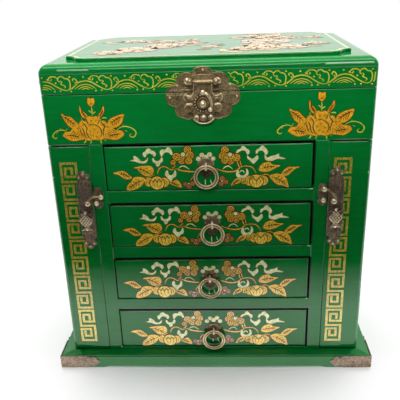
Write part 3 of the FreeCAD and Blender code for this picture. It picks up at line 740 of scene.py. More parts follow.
DRAWER_ONE = (-2.4, 220.0)          # the pull's x and the drawer's middle height there
CLOUD_ARCH = [(25.5, 233.6), (27.2, 236.0), (29.6, 236.9), (30.8, 239.0), (32.4, 239.8), (34.2, 238.6),
              (35.6, 236.9), (37.8, 235.4), (38.1, 233.2), (36.5, 231.2), (35.2, 233.0), (34.0, 234.9),
              (31.4, 235.4), (28.4, 234.0), (26.6, 232.6)]
CLOUD_CUP = [(35.8, 230.4), (36.3, 227.4), (38.6, 225.4), (40.2, 223.4), (41.8, 222.2), (43.6, 223.8),
             (45.2, 225.6), (46.4, 227.6), (45.4, 230.6), (43.6, 229.2), (41.4, 227.2), (38.8, 227.6),
             (36.9, 229.8)]
CLOUD_ARCH_FAR = [(43.8, 232.4), (44.4, 235.6), (46.8, 237.0), (48.4, 239.0), (50.4, 239.8),
                  (52.2, 238.2), (54.0, 236.2), (55.2, 233.6), (53.8, 230.8), (52.2, 230.6),
                  (51.8, 232.6), (49.8, 234.8), (46.8, 234.4), (45.2, 232.2)]
RIBBON_TAIL = [(52.0, 230.2), (52.2, 226.8), (54.6, 225.0), (59.0, 224.8), (63.0, 226.4), (67.2, 226.4),
               (71.4, 226.6), (68.2, 228.0), (65.4, 229.0), (65.2, 231.6), (62.0, 230.2), (58.6, 229.6),
               (56.2, 228.4), (54.6, 228.2), (53.2, 229.8)]
CRESCENT = [(26.2, 215.6), (25.4, 211.8), (27.2, 209.0), (31.0, 208.0), (34.8, 209.0), (37.2, 212.6),
            (36.6, 216.2), (34.8, 217.8), (35.0, 214.2), (33.4, 211.6), (30.4, 211.0), (28.4, 212.8),
            (28.2, 215.8)]
LEAF_A = [(20.6, 200.6), (22.0, 204.4), (25.0, 207.6), (29.4, 209.0), (30.2, 205.8), (27.4, 203.0),
          (24.0, 202.2)]
LEAF_B = [(30.8, 203.4), (31.0, 207.0), (32.6, 209.4), (34.8, 206.6), (34.2, 202.8)]
LEAF_C = [(47.2, 215.6), (47.8, 219.6), (51.0, 222.6), (56.6, 223.8), (59.6, 221.2), (66.4, 220.2),
          (62.6, 218.0), (58.0, 215.4), (52.2, 214.0)]
LEAF_D = [(56.8, 209.8), (62.0, 212.2), (67.4, 211.4), (72.2, 207.6), (73.8, 203.2), (74.6, 198.2),
          (69.6, 200.2), (64.4, 201.4), (60.2, 204.8)]
LEAF_E = [(67.2, 210.0), (69.4, 214.6), (74.0, 218.4), (79.2, 218.4), (84.6, 218.6), (80.2, 216.4),
          (77.0, 213.4), (73.2, 210.2)]
FRUIT_LOBES = [(38.6, 205.4, 4.9), (50.6, 205.6, 4.9), (44.6, 205.2, 6.4)]
CALYX = [(37.2, 209.6), (39.2, 206.8), (41.4, 209.8), (42.6, 207.4), (44.6, 205.8), (46.6, 208.0),
         (48.4, 209.8), (50.6, 207.0), (52.0, 209.4)]

LEFT_ARCH = [(-44.8, 233.4), (-44.8, 236.2), (-42.6, 237.8), (-39.6, 237.8), (-38.0, 239.6),
             (-35.8, 239.4), (-34.2, 237.4), (-33.4, 235.0), (-32.4, 232.4), (-34.6, 232.4),
             (-36.6, 234.6), (-39.6, 234.9), (-42.0, 233.0), (-43.6, 230.6)]
LEFT_CUP = [(-52.6, 229.0), (-52.0, 226.0), (-49.8, 224.2), (-48.4, 221.2), (-46.2, 222.0),
            (-45.0, 224.6), (-43.0, 226.0), (-42.4, 228.6), (-43.8, 230.2), (-45.2, 227.8),
            (-47.6, 226.6), (-50.2, 227.4), (-51.2, 229.6)]
LEFT_ARCH_FAR = [(-60.6, 231.6), (-61.0, 234.6), (-58.8, 236.2), (-57.2, 238.4), (-54.6, 239.0),
                 (-52.6, 237.2), (-50.0, 236.0), (-48.6, 233.2), (-50.4, 230.8), (-52.0, 232.8),
                 (-54.6, 234.2), (-57.2, 233.2), (-58.8, 230.6)]
LEFT_TAIL = [(-73.4, 227.4), (-70.2, 228.6), (-69.8, 232.0), (-66.8, 231.0), (-64.8, 229.2),
             (-63.4, 227.2), (-60.8, 226.6), (-58.4, 227.8), (-56.4, 230.0), (-57.2, 226.6),
             (-60.0, 224.6), (-65.0, 225.0), (-68.2, 226.4)]
LEFT_CRESCENT = [(-40.0, 216.8), (-41.4, 213.2), (-39.6, 210.4), (-37.8, 207.6), (-35.4, 207.0),
                 (-34.0, 209.4), (-31.4, 211.0), (-30.6, 214.4), (-31.6, 217.4), (-33.2, 214.2),
                 (-35.2, 212.4), (-37.6, 213.2), (-38.4, 216.6)]
LEFT_LEAF_A = [(-38.8, 206.8), (-36.4, 203.4), (-32.0, 201.4), (-26.2, 199.8), (-26.8, 203.6),
               (-30.2, 207.6), (-34.4, 206.4)]
LEFT_LEAF_C = [(-70.6, 220.4), (-66.0, 221.6), (-60.0, 222.2), (-54.0, 221.8), (-51.8, 218.0),
               (-52.8, 214.2), (-57.0, 211.8), (-61.2, 212.4), (-64.6, 215.4), (-67.2, 218.8)]
LEFT_LEAF_D = [(-60.6, 209.4), (-66.0, 211.4), (-71.2, 210.6), (-74.0, 206.4), (-77.6, 203.2),
               (-78.6, 198.2), (-73.0, 198.0), (-67.0, 200.4), (-62.8, 204.2)]
LEFT_LEAF_E = [(-72.8, 210.2), (-75.8, 213.6), (-79.2, 216.8), (-83.2, 217.4), (-90.4, 215.4),
               (-85.2, 213.6), (-82.2, 211.0), (-78.2, 209.0)]
LEFT_FRUIT = [(-56.8, 205.8, 4.4), (-42.8, 205.4, 4.8), (-49.2, 204.8, 6.6)]
LEFT_CALYX = [(-55.4, 209.0), (-53.0, 206.4), (-51.0, 208.6), (-49.2, 206.0), (-47.4, 208.6),
              (-45.4, 206.4), (-43.6, 208.8)]


def fruit(painting, lobes, calyx, move):
    """A lobed fruit with creases and a pointed calyx."""
    for index, (u, v, r) in enumerate(lobes):
        u, v = u + move[0], v + move[1]
        petal(painting, (u, v), r, "yellow" if index == 2 else "amber", layer=2 * index, edge=0.75)
        for lean in (-0.55, 0.0, 0.55):
            crease = [(u + lean * r * 0.5, v + 0.55 * r), (u + lean * r * 1.05, v),
                      (u + lean * r * 0.7, v - 0.62 * r)]
            painting.stroke(crease, 0.5, "brown", 2 * index + 2, taper=(0.2, 0.2))
    painting.stroke(moved(calyx, *move), 1.0, "brown", 7)
    painting.stroke(moved(calyx, move[0], move[1] + 1.1), 0.7, "yellow", 7)


def drawer_motif(number):
    """Flowering and fruiting branches with cloud ribbons, either side of the ring pull."""
    low, high = node_box("drawer_{}_front".format(number))
    pull_x = float(node_centre("drawer_{}_ring".format(number))[0])
    middle = (low[2] + high[2]) / 2 + 0.65
    move = (pull_x - DRAWER_ONE[0], middle - DRAWER_ONE[1])
    painting = Painting("drawer_{}_painting".format(number), "drawer_{}".format(number), DRAWER_FACE)

    def at(points):
        return moved(points, *move)

    def flower(petals, heart, heart_r, look="amber"):
        spotted_flower(painting, [(u + move[0], v + move[1], r) for u, v, r in petals],
                       (heart[0] + move[0], heart[1] + move[1]), heart_r, look)

    # branches under everything else
    for line, width in (([(6, 218.4), (12, 216.2), (18, 214.8), (24, 215.2), (27.6, 217.2),
                          (29.6, 219)], 1.9),
                        ([(28.6, 219.4), (27.6, 221.6), (26.4, 225.4)], 1.6),
                        ([(30.6, 220.2), (29.8, 223), (29.2, 226.4)], 1.2),
                        ([(27.2, 217.6), (30.4, 219.6), (35.6, 220.2), (39.6, 219.4), (42.6, 216.6),
                          (44.2, 212.6)], 1.25),
                        ([(49.6, 211.2), (53.6, 211.8), (57.4, 210.2)], 1.0),
                        ([(47.6, 215.2), (46.2, 217.2)], 0.8),
                        ([(-12, 215.4), (-19, 215.8), (-26, 217), (-31, 219.2)], 1.9),
                        ([(-34.6, 219.2), (-32.2, 220.8), (-30.8, 223.4), (-31.2, 226.6)], 1.3),
                        ([(-31, 218.8), (-35.4, 217.8), (-38.4, 219.6), (-41.6, 221), (-45, 220.2),
                          (-47.4, 217.4), (-48.4, 213.8)], 1.35),
                        ([(-51.6, 213.4), (-55.4, 211.4), (-60.6, 209.6)], 1.0),
                        ([(-12.6, 212.8), (-15.6, 209.6), (-17.4, 206.4)], 1.1)):
        painting.stroke(at(line), width + 0.8, "brown", 0)
        painting.stroke(at(line), width * 0.62, "amber", 1)
    for cloud in (CLOUD_ARCH, CLOUD_CUP, CLOUD_ARCH_FAR, RIBBON_TAIL, CRESCENT, LEFT_ARCH, LEFT_CUP,
                  LEFT_ARCH_FAR, LEFT_TAIL, LEFT_CRESCENT):
        painting.outlined(at(cloud), "cream", grow=0.38, steps=4)
    for line in ([(13.2, 217.4), (15.4, 219.6), (18.8, 220.4), (22.4, 217.4)],
                 [(-28.2, 218.8), (-26, 220.8), (-22.4, 220.9), (-18, 217.8)],
                 [(28.8, 213.8), (30, 215.6), (32.2, 215.4), (33.2, 213.4)],
                 [(37.4, 228.8), (40.2, 226.8), (43.6, 228)],
                 [(-3.4, 207.6), (-3.6, 204.4), (-3.2, 201.4)], [(1.4, 207.4), (2, 204.6), (3.2, 202.6)]):
        painting.stroke(at(line), 0.9, "cream", 2)
    painting.stroke(at([(71.2, 226.4), (74, 224.8), (75.2, 221.6)]), 0.6, "brown", 1)
    flower([(15.4, 236.0, 3.5), (13.4, 230.6, 3.6), (15.2, 226.0, 3.2), (20.6, 224.9, 3.0),
            (26.0, 228.4, 3.6), (20.0, 230.2, 3.8)], (20.2, 231.6), 1.9)
    flower([(12.6, 208.0, 2.4), (15.6, 204.8, 2.3), (11.4, 203.0, 2.2)], (12.2, 205.8), 0.8, "rose")
    flower([(-19.2, 237.0, 3.4), (-17.2, 231.6, 3.6), (-18.4, 226.2, 3.3), (-24.8, 226.6, 3.3),
            (-29.6, 230.4, 3.7), (-33.2, 225.0, 2.4), (-23.6, 230.6, 3.4)], (-23.6, 232.6), 2.0)
    flower([(-22.4, 203.4, 2.0), (-18.8, 200.9, 2.3), (-15.6, 203.6, 2.1)], (-19.2, 203.8), 0.8, "rose")
    for outline, vein in ((LEAF_A, [(21.6, 201.6), (25.2, 204.8), (28.6, 207.4)]),
                          (LEAF_B, [(32.2, 203.4), (32.6, 207.6)]),
                          (LEAF_C, [(48.4, 217.2), (53.4, 218.6), (58.6, 219.2), (63, 219.4)]),
                          (LEAF_D, [(58.6, 209.2), (64.8, 206.8), (69.6, 203.6), (73.4, 199.6)]),
                          (LEAF_E, [(69.2, 211.4), (73.4, 214.8), (78.6, 217.2)]),
                          (LEFT_LEAF_A, [(-37.6, 205.6), (-33, 204), (-28.2, 201.2)]),
                          (LEFT_LEAF_C, [(-68.8, 219.8), (-62.8, 218.4), (-57.6, 215.6), (-54.2, 212.8)]),
                          (LEFT_LEAF_D, [(-62, 208), (-68, 205.8), (-73.2, 202.4), (-77, 199.4)]),
                          (LEFT_LEAF_E, [(-74.6, 210.6), (-79, 213.6), (-85.2, 215.2)])):
        veined_leaf(painting, at(outline), at(vein))
    fruit(painting, FRUIT_LOBES, CALYX, move)
    fruit(painting, LEFT_FRUIT, LEFT_CALYX, move)
    # the small cloud of cream lobes above the pull's plate
    for u, v, r in ((-6.0, 231.6, 2.2), (1.2, 232.0, 2.3), (-9.4, 228.0, 2.2), (4.4, 228.0, 2.2),
                    (-2.4, 229.4, 2.4)):
        painting.disc((u + move[0], v + move[1]), r + 0.3, "brown", 0)
        painting.disc((u + move[0], v + move[1]), r, "cream", 1)
    painting.done()


LOTUS_BODY = [(-5.6, 269.2), (-2.6, 270.8), (0, 269.8), (3.4, 270.6), (6.4, 268.6), (7.4, 265.8),
              (10.4, 266.2), (12.6, 263.6), (12.8, 260.2), (14.2, 257), (12.4, 253), (9.6, 250),
              (5, 247.8), (0, 248.6), (-5, 247.8), (-9.6, 249.6), (-12.6, 253), (-14.4, 257.4),
              (-12.8, 261), (-12.8, 264.4), (-9.6, 267.2), (-7, 265.6)]
LOTUS_PARTS = [
    ([(-28.3, 273.4), (-24.8, 271.4), (-20.4, 270.4), (-16.4, 266.6), (-13.2, 263.2), (-13.8, 260),
      (-17, 259.4), (-20, 260), (-23.4, 262.6), (-26.2, 267.4)],
     [(-27.4, 271.4), (-22, 267.4), (-15.6, 262)]),
    ([(28.9, 271.8), (24, 271), (19, 269.2), (15.2, 266.8), (12.8, 262.4), (15.4, 260), (20, 259.4),
      (24.2, 261.6), (27.4, 265.4), (28.2, 268.6)],
     [(27.6, 270), (21.4, 267), (14.8, 262.4)]),
    ([(-29, 253), (-26.6, 256.2), (-22, 256.8), (-19.4, 259.8), (-15.4, 259.4), (-12.4, 254.8),
      (-9.4, 249.6), (-14, 248.4), (-20, 247.6), (-25.6, 249.8)],
     [(-25.4, 253.4), (-19, 252.6), (-13, 251)]),
    ([(27.8, 253.4), (25.6, 256.6), (20, 257.2), (16.4, 260.6), (13.4, 259.6), (10.4, 252.6),
      (9.4, 249.6), (16, 248.4), (21, 248), (25.8, 250.6)],
     [(24.6, 253.6), (18.4, 252.8), (12.6, 251.4)]),
    ([(-10.7, 280.6), (-9.4, 276.8), (-6.4, 273.8), (-4, 270.2), (-5.6, 268.4), (-8.8, 269.8),
      (-11, 274.4)], [(-9.8, 277), (-7.6, 272.6), (-5.4, 269.6)]),
    ([(11, 279.9), (11.4, 277), (10.6, 273.4), (7.6, 270), (5.2, 268), (5.8, 271.6), (8.6, 275.6)],
     [(10.4, 277), (8.8, 273.2), (6.2, 269.6)]),
    ([(-2.6, 287.4), (0, 286.6), (2.6, 287.4), (3.3, 283.6), (1.9, 280.8), (0, 279.4), (-1.9, 280.6),
      (-3.2, 283.2)], [(0, 282.6), (0, 281)]),
]
LOTUS_LINES = [
    [(-5.4, 260.6), (-2, 262.8), (2.6, 262.2), (6.6, 258.6), (7.2, 254), (4.4, 249.4)],
    [(-5.4, 260.6), (-6.8, 256.6), (-5.4, 251.6), (-2, 248.8)],
    [(-12, 262), (-9.4, 257.6), (-8.4, 252.4), (-6, 249.6)],
    [(-12.6, 260), (-12, 255.6), (-9.6, 251)],
    [(-9.8, 265.6), (-7.2, 262.2), (-5.4, 258)],
    [(12.4, 262.4), (10, 259.6), (8.6, 255.4), (8.8, 251)],
    [(7, 266.4), (9.2, 262.4), (12.2, 259.8)],
    [(-5.6, 268.8), (-5.4, 265.4), (-3.6, 262.8)],
    [(6.2, 268.4), (5.6, 265.2), (3.8, 262.6)],
]
LOTUS_TENDRILS = [
    [(-24.4, 256), (-28.6, 258.2), (-33.8, 257.6), (-37.4, 255), (-38.7, 252.4), (-36.6, 250.3),
     (-34.4, 251.4)],
    [(-29.4, 257.8), (-31.2, 259.8)], [(-26.6, 256.4), (-28.2, 254), (-29.4, 252)],
    [(-33.6, 257), (-35, 255.2)], [(-25.6, 257), (-24.6, 259.6)],
    [(20.6, 256.6), (25, 259.6), (30.2, 260.4), (36, 258.2), (38.9, 254.4), (37, 250.6),
     (33.8, 250.6), (33, 252.6), (34.6, 253.4)],
    [(26.4, 259.8), (27.8, 262)], [(28.6, 256.8), (31, 255.6)], [(25.4, 256), (27.6, 253.8)],
    [(0, 279.4), (0.3, 275), (0, 270.8)], [(0, 273), (-1.6, 275), (-3, 275.6)],
    [(0.2, 272.2), (2, 273.8), (3.4, 274.6)],
    [(-9, 249), (-8.6, 247), (-10.6, 245.4)], [(-4, 248), (-3.4, 246.4), (-4.6, 245)],
    [(5, 248), (6, 246.2), (5.4, 244.8)], [(8.8, 249), (10.4, 247.2)],
    [(8.6, 268.6), (11.2, 269), (13, 268.2)], [(-10.4, 267.6), (-9.8, 269.6)],
]


def lotus(painting, centre_x, lift=0.0):
    """A standing lotus with a bud, side leaves and curling tendrils."""
    def at(points):
        return moved(points, centre_x, lift)

    for line in LOTUS_TENDRILS:
        painting.stroke(at(line), 0.95, "lime", 0)
    for outline, vein in LOTUS_PARTS:
        veined_leaf(painting, at(outline), at(vein), "orange")
    painting.outlined(at(LOTUS_BODY), "orange", "rust", 0.45, layer=1)
    for line in LOTUS_LINES:
        painting.stroke(at(line), 1.1, "rust", 4, taper=(0.15, 0.15))
        painting.stroke(moved(at(line), 0.9, 0.3), 0.55, "yellow", 4, taper=(0.15, 0.15))
    for u, v in ((-3.4, 256.6), (0.4, 258.6), (3.6, 255.4), (-1.2, 252.8), (2.2, 251.4), (-9.6, 254.4),
                 (10.6, 253.6), (-9.4, 262.4), (9.8, 262.6), (-1.2, 266.4), (2.8, 266.2)):
        painting.stroke(at([(u - 1.1, v - 0.5), (u, v + 0.5), (u + 1.1, v - 0.4)]), 0.5, "rust", 4)
        painting.disc((centre_x + u, v - 0.9 + lift), 0.35, "rust", 4, count=8)


WAVE_PERIOD = 37.3
WAVE_LINES = [
    ([(-14.4, 295.0), (-10.6, 297.8), (-5.6, 301.4), (0, 302.7), (5.4, 301.6), (11, 298.2), (15.6, 295.6),
      (19.4, 294.4)], 1.0),
    ([(-9.8, 295.4), (-5.4, 298.4), (0, 299.6), (5.2, 298.4), (9.4, 295.4)], 0.75),
    ([(-6.6, 295.2), (-3.4, 297.0), (0, 297.6), (3.6, 296.8), (6.4, 295.2)], 0.7),
    ([(-3.6, 295.0), (0, 296.0), (3.4, 295.0)], 0.7),
    ([(5.4, 303.2), (4.4, 304.6), (6.2, 306.6), (9.4, 307.0), (11.6, 306.2), (12.8, 304.8)], 0.95),
    ([(6.0, 303.0), (7.4, 304.2), (6.6, 305.2)], 0.8),
    ([(14.8, 302.0), (12.8, 303.8), (14.0, 306.2), (16.8, 307.0), (19.4, 305.2), (21.8, 304.8),
      (23.6, 302.2), (23.6, 298.0), (22.2, 295.2), (19.4, 294.4)], 1.0),
    ([(15.0, 303.2), (16.4, 302.0), (15.4, 300.2), (17.6, 299.2), (19.4, 297.8), (18.0, 296.6)], 0.8),
    ([(24.8, 295.6), (27.6, 298.0), (30.2, 300.6), (29.6, 303.4), (27.8, 305.0), (26.2, 303.8),
      (27.0, 302.4)], 0.95),
]
WAVE_DOTS = [(-1.2, 306.2), (3.6, 304.4), (23.8, 306.4), (10.8, 301.2), (9.2, 293.8), (14.4, 294.0),
             (24.0, 293.6), (28.6, 301.2)]


def wave_band(name, face, first, count, low, high):
    """Waves with concentric ripples and curling clouds, in thin yellow lines."""
    painting = Painting(name, "lid", face)
    for i in range(count):
        crest = first + i * WAVE_PERIOD
        for line, width in WAVE_LINES:
            run = clipped(moved(line, crest, 0), low, high)
            if len(run) > 3:
                painting.stroke(run, width, "lime", 1, taper=(0.5, 0.5), sharp=True)
        for u, v in WAVE_DOTS:
            if low < crest + u < high:
                painting.disc((crest + u, v), 0.75, "lime", 1, count=10)
    painting.done()


def lid_bands():
    edge = HALF_W - 3.0
    depth = abs(FRONT) - 3.0
    wave_band("wave_band_front_left", FRONT_FACE, -145.2, 4, -edge, LOCK_X - 20)
    wave_band("wave_band_front_right", FRONT_FACE, 120.8 - 3 * WAVE_PERIOD, 4, LOCK_X + 22, edge)
    wave_band("wave_band_right", RIGHT_FACE, -100.0, 6, -depth, depth)
    wave_band("wave_band_left", LEFT_FACE, -100.0, 6, -depth, depth)


def tray_flowers():
    painting = Painting("lotus_front", "case", FRONT_FACE)
    lotus(painting, -104.5)
    lotus(painting, 102.0)
    painting.done()
    for name, face in (("lotus_right", RIGHT_FACE), ("lotus_left", LEFT_FACE)):
        painting = Painting(name, "case", face)
        lotus(painting, 0.0)
        painting.done()


def peony(painting, centre, size, turn, look="peach"):
    """A full round flower: three rings of scalloped petals round a heart."""
    for ring, (reach, radius, count) in enumerate(((0.66, 0.36, 8), (0.40, 0.30, 6), (0.16, 0.22, 4))):
        for k in range(count):
            angle = turn + (k + 0.5 * ring) * 2 * math.pi / count
            at = (centre[0] + reach * size * math.cos(angle), centre[1] + reach * size * math.sin(angle))
            petal(painting, at, radius * size, look if ring % 2 == 0 else "amber", 0.86,
                  angle + math.pi / 2, layer=2 * ring + k % 2, edge=0.05 * size + 0.2)
    painting.disc(centre, 0.13 * size, "cream", 8)


LEAF_OUTLINE = [(0, 0), (0.22, 0.17), (0.55, 0.22), (0.85, 0.12), (1.1, 0.02), (0.84, -0.12),
                (0.5, -0.2), (0.2, -0.15)]


def simple_leaf(painting, foot, length, turn, look="amber"):
    painting.outlined(placed(LEAF_OUTLINE, foot[0], foot[1], length, turn), look, grow=0.4, steps=3)
    painting.stroke(placed([(0.05, 0), (0.5, 0.02), (1.0, 0.0)], foot[0], foot[1], length, turn), 0.6,
                    "brown", 3)


def flower_spray(painting, centre, spread, turn, blooms):
    """Peonies on a curved branch with leaves either side."""
    branch = placed([(-1.15, -0.5), (-0.6, -0.15), (0, 0), (0.6, 0.05), (1.15, 0.42)], centre[0],
                    centre[1], spread, turn)
    painting.stroke(branch, 2.2, "brown", 0)
    painting.stroke(branch, 1.3, "tan", 1)
    line = smooth_line(branch, 5)
    for index in range(1, len(line) - 1, 2):
        ahead = line[index + 1] - line[index - 1]
        heading = math.atan2(ahead[1], ahead[0])
        for side in (-1, 1):
            lean = heading + side * (0.75 + 0.25 * math.sin(index * 1.7))
            simple_leaf(painting, line[index], spread * (0.36 + 0.09 * math.sin(index * 2.3 + side)), lean,
                        "amber" if index % 4 == 1 else "rose")
    for u, v, size, spin in blooms:
        at = placed([(u, v)], centre[0], centre[1], spread, turn)[0]
        peony(painting, at, spread * size, spin)


def lid_painting():
    """Flowers on the raised panel inside a yellow border line that follows its edge."""
    low, high = node_box("lid_panel")
    half_x, half_y = high[0] - 2.4, high[1] - 2.4
    cut_x, cut_y = 19.0, 17.0
    corner = [(half_x, half_y - cut_y), (half_x - cut_x * 0.30, half_y - cut_y * 0.86),
              (half_x - cut_x * 0.5, half_y - cut_y * 0.5), (half_x - cut_x * 0.70, half_y - cut_y * 0.14),
              (half_x - cut_x, half_y)]
    corner = [tuple(p) for p in smooth_line(corner, 5)]
    ring = []
    for sx, sy in ((1, 1), (-1, 1), (-1, -1), (1, -1)):
        run = [(sx * u, sy * v) for u, v in corner]
        ring += run if sx * sy > 0 else run[::-1]
    painting = Painting("lid_border", "lid", TOP_FACE)
    painting.stroke(ring, 2.0, "cream_gold", 0, closed=True, sharp=True)
    painting.done()
    painting = Painting("lid_flowers", "lid", TOP_FACE)
    flower_spray(painting, (-58.0, -24.0), 50.0, 0.35,
                 [(-0.30, -0.10, 0.46, 0.2), (0.34, 0.18, 0.44, 0.9), (-0.90, -0.30, 0.32, 0.5),
                  (0.92, 0.42, 0.26, 0.3)])
    flower_spray(painting, (-66.0, 34.0), 42.0, -0.35,
                 [(-0.45, 0.0, 0.38, 0.2), (0.45, 0.05, 0.34, 0.7)])
    flower_spray(painting, (58.0, 4.0), 62.0, 1.15,
                 [(0.05, 0.0, 0.44, 0.4), (-0.66, -0.20, 0.36, 1.1), (0.72, 0.20, 0.34, 0.1)])
    flower_spray(painting, (62.0, -44.0), 46.0, 0.1,
                 [(-0.55, -0.05, 0.36, 0.7), (0.35, 0.0, 0.44, 0.2), (1.0, 0.36, 0.26, 0.9)])
    flower_spray(painting, (70.0, 40.0), 40.0, -0.5, [(0.2, 0.0, 0.44, 0.5), (-0.7, 0.1, 0.32, 0.2)])
    flower_spray(painting, (2.0, -30.0), 20.0, 0.9, [(0.1, 0.0, 0.5, 0.5)])
    painting.done()


def wing_sides():
    """A flowering branch on each wing's outer side."""
    for side, face in (("right", RIGHT_FACE), ("left", LEFT_FACE)):
        painting = Painting("wing_{}_flowers".format(side), "wing_" + side, face)
        flower_spray(painting, (0.0, 126.0), 62.0, 1.05,
                     [(-0.30, -0.05, 0.36, 0.2), (0.40, 0.12, 0.32, 0.9), (-0.92, -0.36, 0.22, 0.5),
                      (0.98, 0.30, 0.20, 0.3)])
        for sx, sz in ((-1, 1), (1, 1), (1, -1), (-1, -1)):
            foot = (sx * 82.0, 130.0 + sz * 96.0)
            painting.stroke([(foot[0], foot[1] - sz * 16), (foot[0], foot[1] - sz * 4),
                             (foot[0] - sx * 4, foot[1]), (foot[0] - sx * 16, foot[1])], 1.6, "gold")
        painting.done()


# ---- metal fittings --------------------------------------------------------
class Metal(Build):
    """Cast and wire brass details, built as closed shapes."""

    def __init__(self, name, body, slot="antique_brass"):
        super().__init__(name, body, slot)

    def ball(self, centre, radius, look="brass", squash=(1, 1, 1), around=16, rings=8):
        points, faces = [], []
        for j in range(rings + 1):
            phi = math.pi * j / rings
            for i in range(around):
                theta = 2 * math.pi * i / around
                points.append([centre[0] + radius * squash[0] * math.sin(phi) * math.cos(theta),
                               centre[1] - radius * squash[1] * math.cos(phi),
                               centre[2] + radius * squash[2] * math.sin(phi) * math.sin(theta)])
        for j in range(rings):
            for i in range(around):
                k = (i + 1) % around
                ring, above = j * around, (j + 1) * around
                if j == 0:
                    faces.append([ring, above + i, above + k])
                elif j == rings - 1:
                    faces.append([ring + i, above, ring + k])
                else:
                    faces.append([ring + i, above + i, above + k, ring + k])
        keep = [0] + list(range(around, rings * around)) + [rings * around]
        number = {old: new for new, old in enumerate(keep)}
        faces = [[number[i] for i in face] for face in faces]
        self.add([points[i] for i in keep], faces, look, smooth=True)

    def tube(self, points, radius, look="brass", around=8, closed=False, steps=6, sharp=False):
        """A round wire along a smooth line; radius may vary along it."""
        line = np.array(points, dtype=float) if sharp else smooth_line(points, steps, closed)
        n = len(line)
        radii = np.interp(np.linspace(0, 1, n), np.linspace(0, 1, np.size(radius)),
                          np.atleast_1d(radius))
        if closed:
            tangent = np.roll(line, -1, axis=0) - np.roll(line, 1, axis=0)
        else:
            tangent = np.gradient(line, axis=0)
        tangent /= np.maximum(np.linalg.norm(tangent, axis=1, keepdims=True), 1e-9)
        helper = np.array([0.0, 1.0, 0.0])
        if abs(np.dot(tangent, helper)).max() > 0.97:
            helper = np.array([1.0, 0.0, 0.0])
        side = np.cross(tangent, helper)
        side /= np.linalg.norm(side, axis=1, keepdims=True)
        up = np.cross(side, tangent)
        verts = []
        for i in range(n):
            for k in range(around):
                angle = 2 * math.pi * k / around
                verts.append(line[i] + radii[i] * (math.cos(angle) * side[i] + math.sin(angle) * up[i]))
        faces = []
        for i in range(n if closed else n - 1):
            j = (i + 1) % n
            for k in range(around):
                m = (k + 1) % around
                faces.append([i * around + k, i * around + m, j * around + m, j * around + k])
        if not closed:
            faces.append(list(range(around))[::-1])
            faces.append([(n - 1) * around + k for k in range(around)])
        self.add(verts, faces, look, smooth=True)

    def pillow(self, face, outline, base, rise, look="brass", rings=5, centre=None, flat=0.0):
        """A domed boss over an outline; flat is the share of the middle left level."""
        outline = np.array(outline, dtype=float)
        middle = np.mean(outline, axis=0) if centre is None else np.array(centre, dtype=float)
        rows = [face.at(outline, base)]
        for k in range(rings):
            angle = math.pi / 2 * k / rings
            shrink = flat + (1 - flat) * math.cos(angle)
            rows.append(face.at(middle + (outline - middle) * shrink,
                                base + rise * (0.25 + 0.75 * math.sin(angle))))
        rows.append(face.at([middle], base + rise))
        n = len(outline)
        faces = [list(range(n))[::-1]]
        for row in range(rings):
            for i in range(n):
                j = (i + 1) % n
                faces.append([row * n + i, row * n + j, (row + 1) * n + j, (row + 1) * n + i])
        top = (rings + 1) * n
        faces += [[rings * n + i, rings * n + (i + 1) % n, top] for i in range(n)]
        self.add(np.vstack(rows), faces, look, smooth=True)


def circle(centre, radius, count=20, squash=1.0, turn=0.0):
    angles = np.arange(count) * 2 * math.pi / count
    u, v = radius * np.cos(angles), radius * squash * np.sin(angles)
    c, s = math.cos(turn), math.sin(turn)
    return np.column_stack([centre[0] + u * c - v * s, centre[1] + u * s + v * c])


def keeper_details():
    """Bright post heads and lobed edges on the keepers the wing hooks drop on."""
    metal = Metal("keeper_relief", "case")
    for plate_x, post_x in ((-106.6, -108.0), (106.6, 106.8)):
        metal.ball((post_x, PLATE_FACE - 3.6, 186.6), 2.35, "bright_brass")
        metal.tube([(post_x + 2.9 * math.cos(a), PLATE_FACE - 0.3, 186.6 + 2.9 * math.sin(a))
                    for a in np.arange(18) * math.pi / 9], 0.5, "brass", around=6, closed=True, sharp=True)
        for u, z, r in ((0.0, 199.0, 1.8), (2.4, 195.2, 1.3), (-2.4, 195.2, 1.3), (0.0, 181.6, 1.2)):
            metal.pillow(FRONT_FACE, circle((plate_x + u, z), r, 14), 0.8, 0.6, "brass", rings=3)
    metal.done()


def plate_outline(node):
    """The outline of the sheet part of a fitting, read where it stands PLATE_FACE high."""
    mesh = frame["nodes"][node].data
    coords = np.array([tuple(v.co) for v in mesh.vertices]) / MM
    keys = [tuple(np.round(c, 2)) for c in coords]
    seen = {}
    for polygon in mesh.polygons:
        corners = [keys[i] for i in polygon.vertices]
        if all(abs(c[1] - PLATE_FACE) < 0.02 for c in corners):
            for a, b in zip(corners, corners[1:] + corners[:1]):
                seen[(a, b)] = 1
    edges = {a: b for (a, b) in seen if (b, a) not in seen}
    best = []
    while edges:
        start, here = edges.popitem()
        loop = [start, here]
        while here in edges:
            here = edges.pop(here)
            loop.append(here)
        if len(loop) > len(best):
            best = loop
    return np.array([(c[0], c[2]) for c in best[:-1]])


def even(loop, spacing):
    """A closed outline resampled at even steps."""
    closed = np.vstack([loop, loop[:1]])
    lengths = np.concatenate([[0], np.cumsum(np.linalg.norm(np.diff(closed, axis=0), axis=1))])
    marks = np.arange(0, lengths[-1] - spacing / 2, spacing)
    return np.column_stack([np.interp(marks, lengths, closed[:, k]) for k in (0, 1)])


def inset(loop, distance):
    """A closed outline moved inwards."""
    ahead, behind = np.roll(loop, -1, axis=0), np.roll(loop, 1, axis=0)
    tangent = ahead - behind
    tangent /= np.maximum(np.linalg.norm(tangent, axis=1, keepdims=True), 1e-9)
    normal = np.column_stack([-tangent[:, 1], tangent[:, 0]])
    shifted = np.roll(loop, -1, axis=0)
    area = np.sum(loop[:, 0] * shifted[:, 1] - shifted[:, 0] * loop[:, 1])
    return loop + normal * distance * (1 if area > 0 else -1)


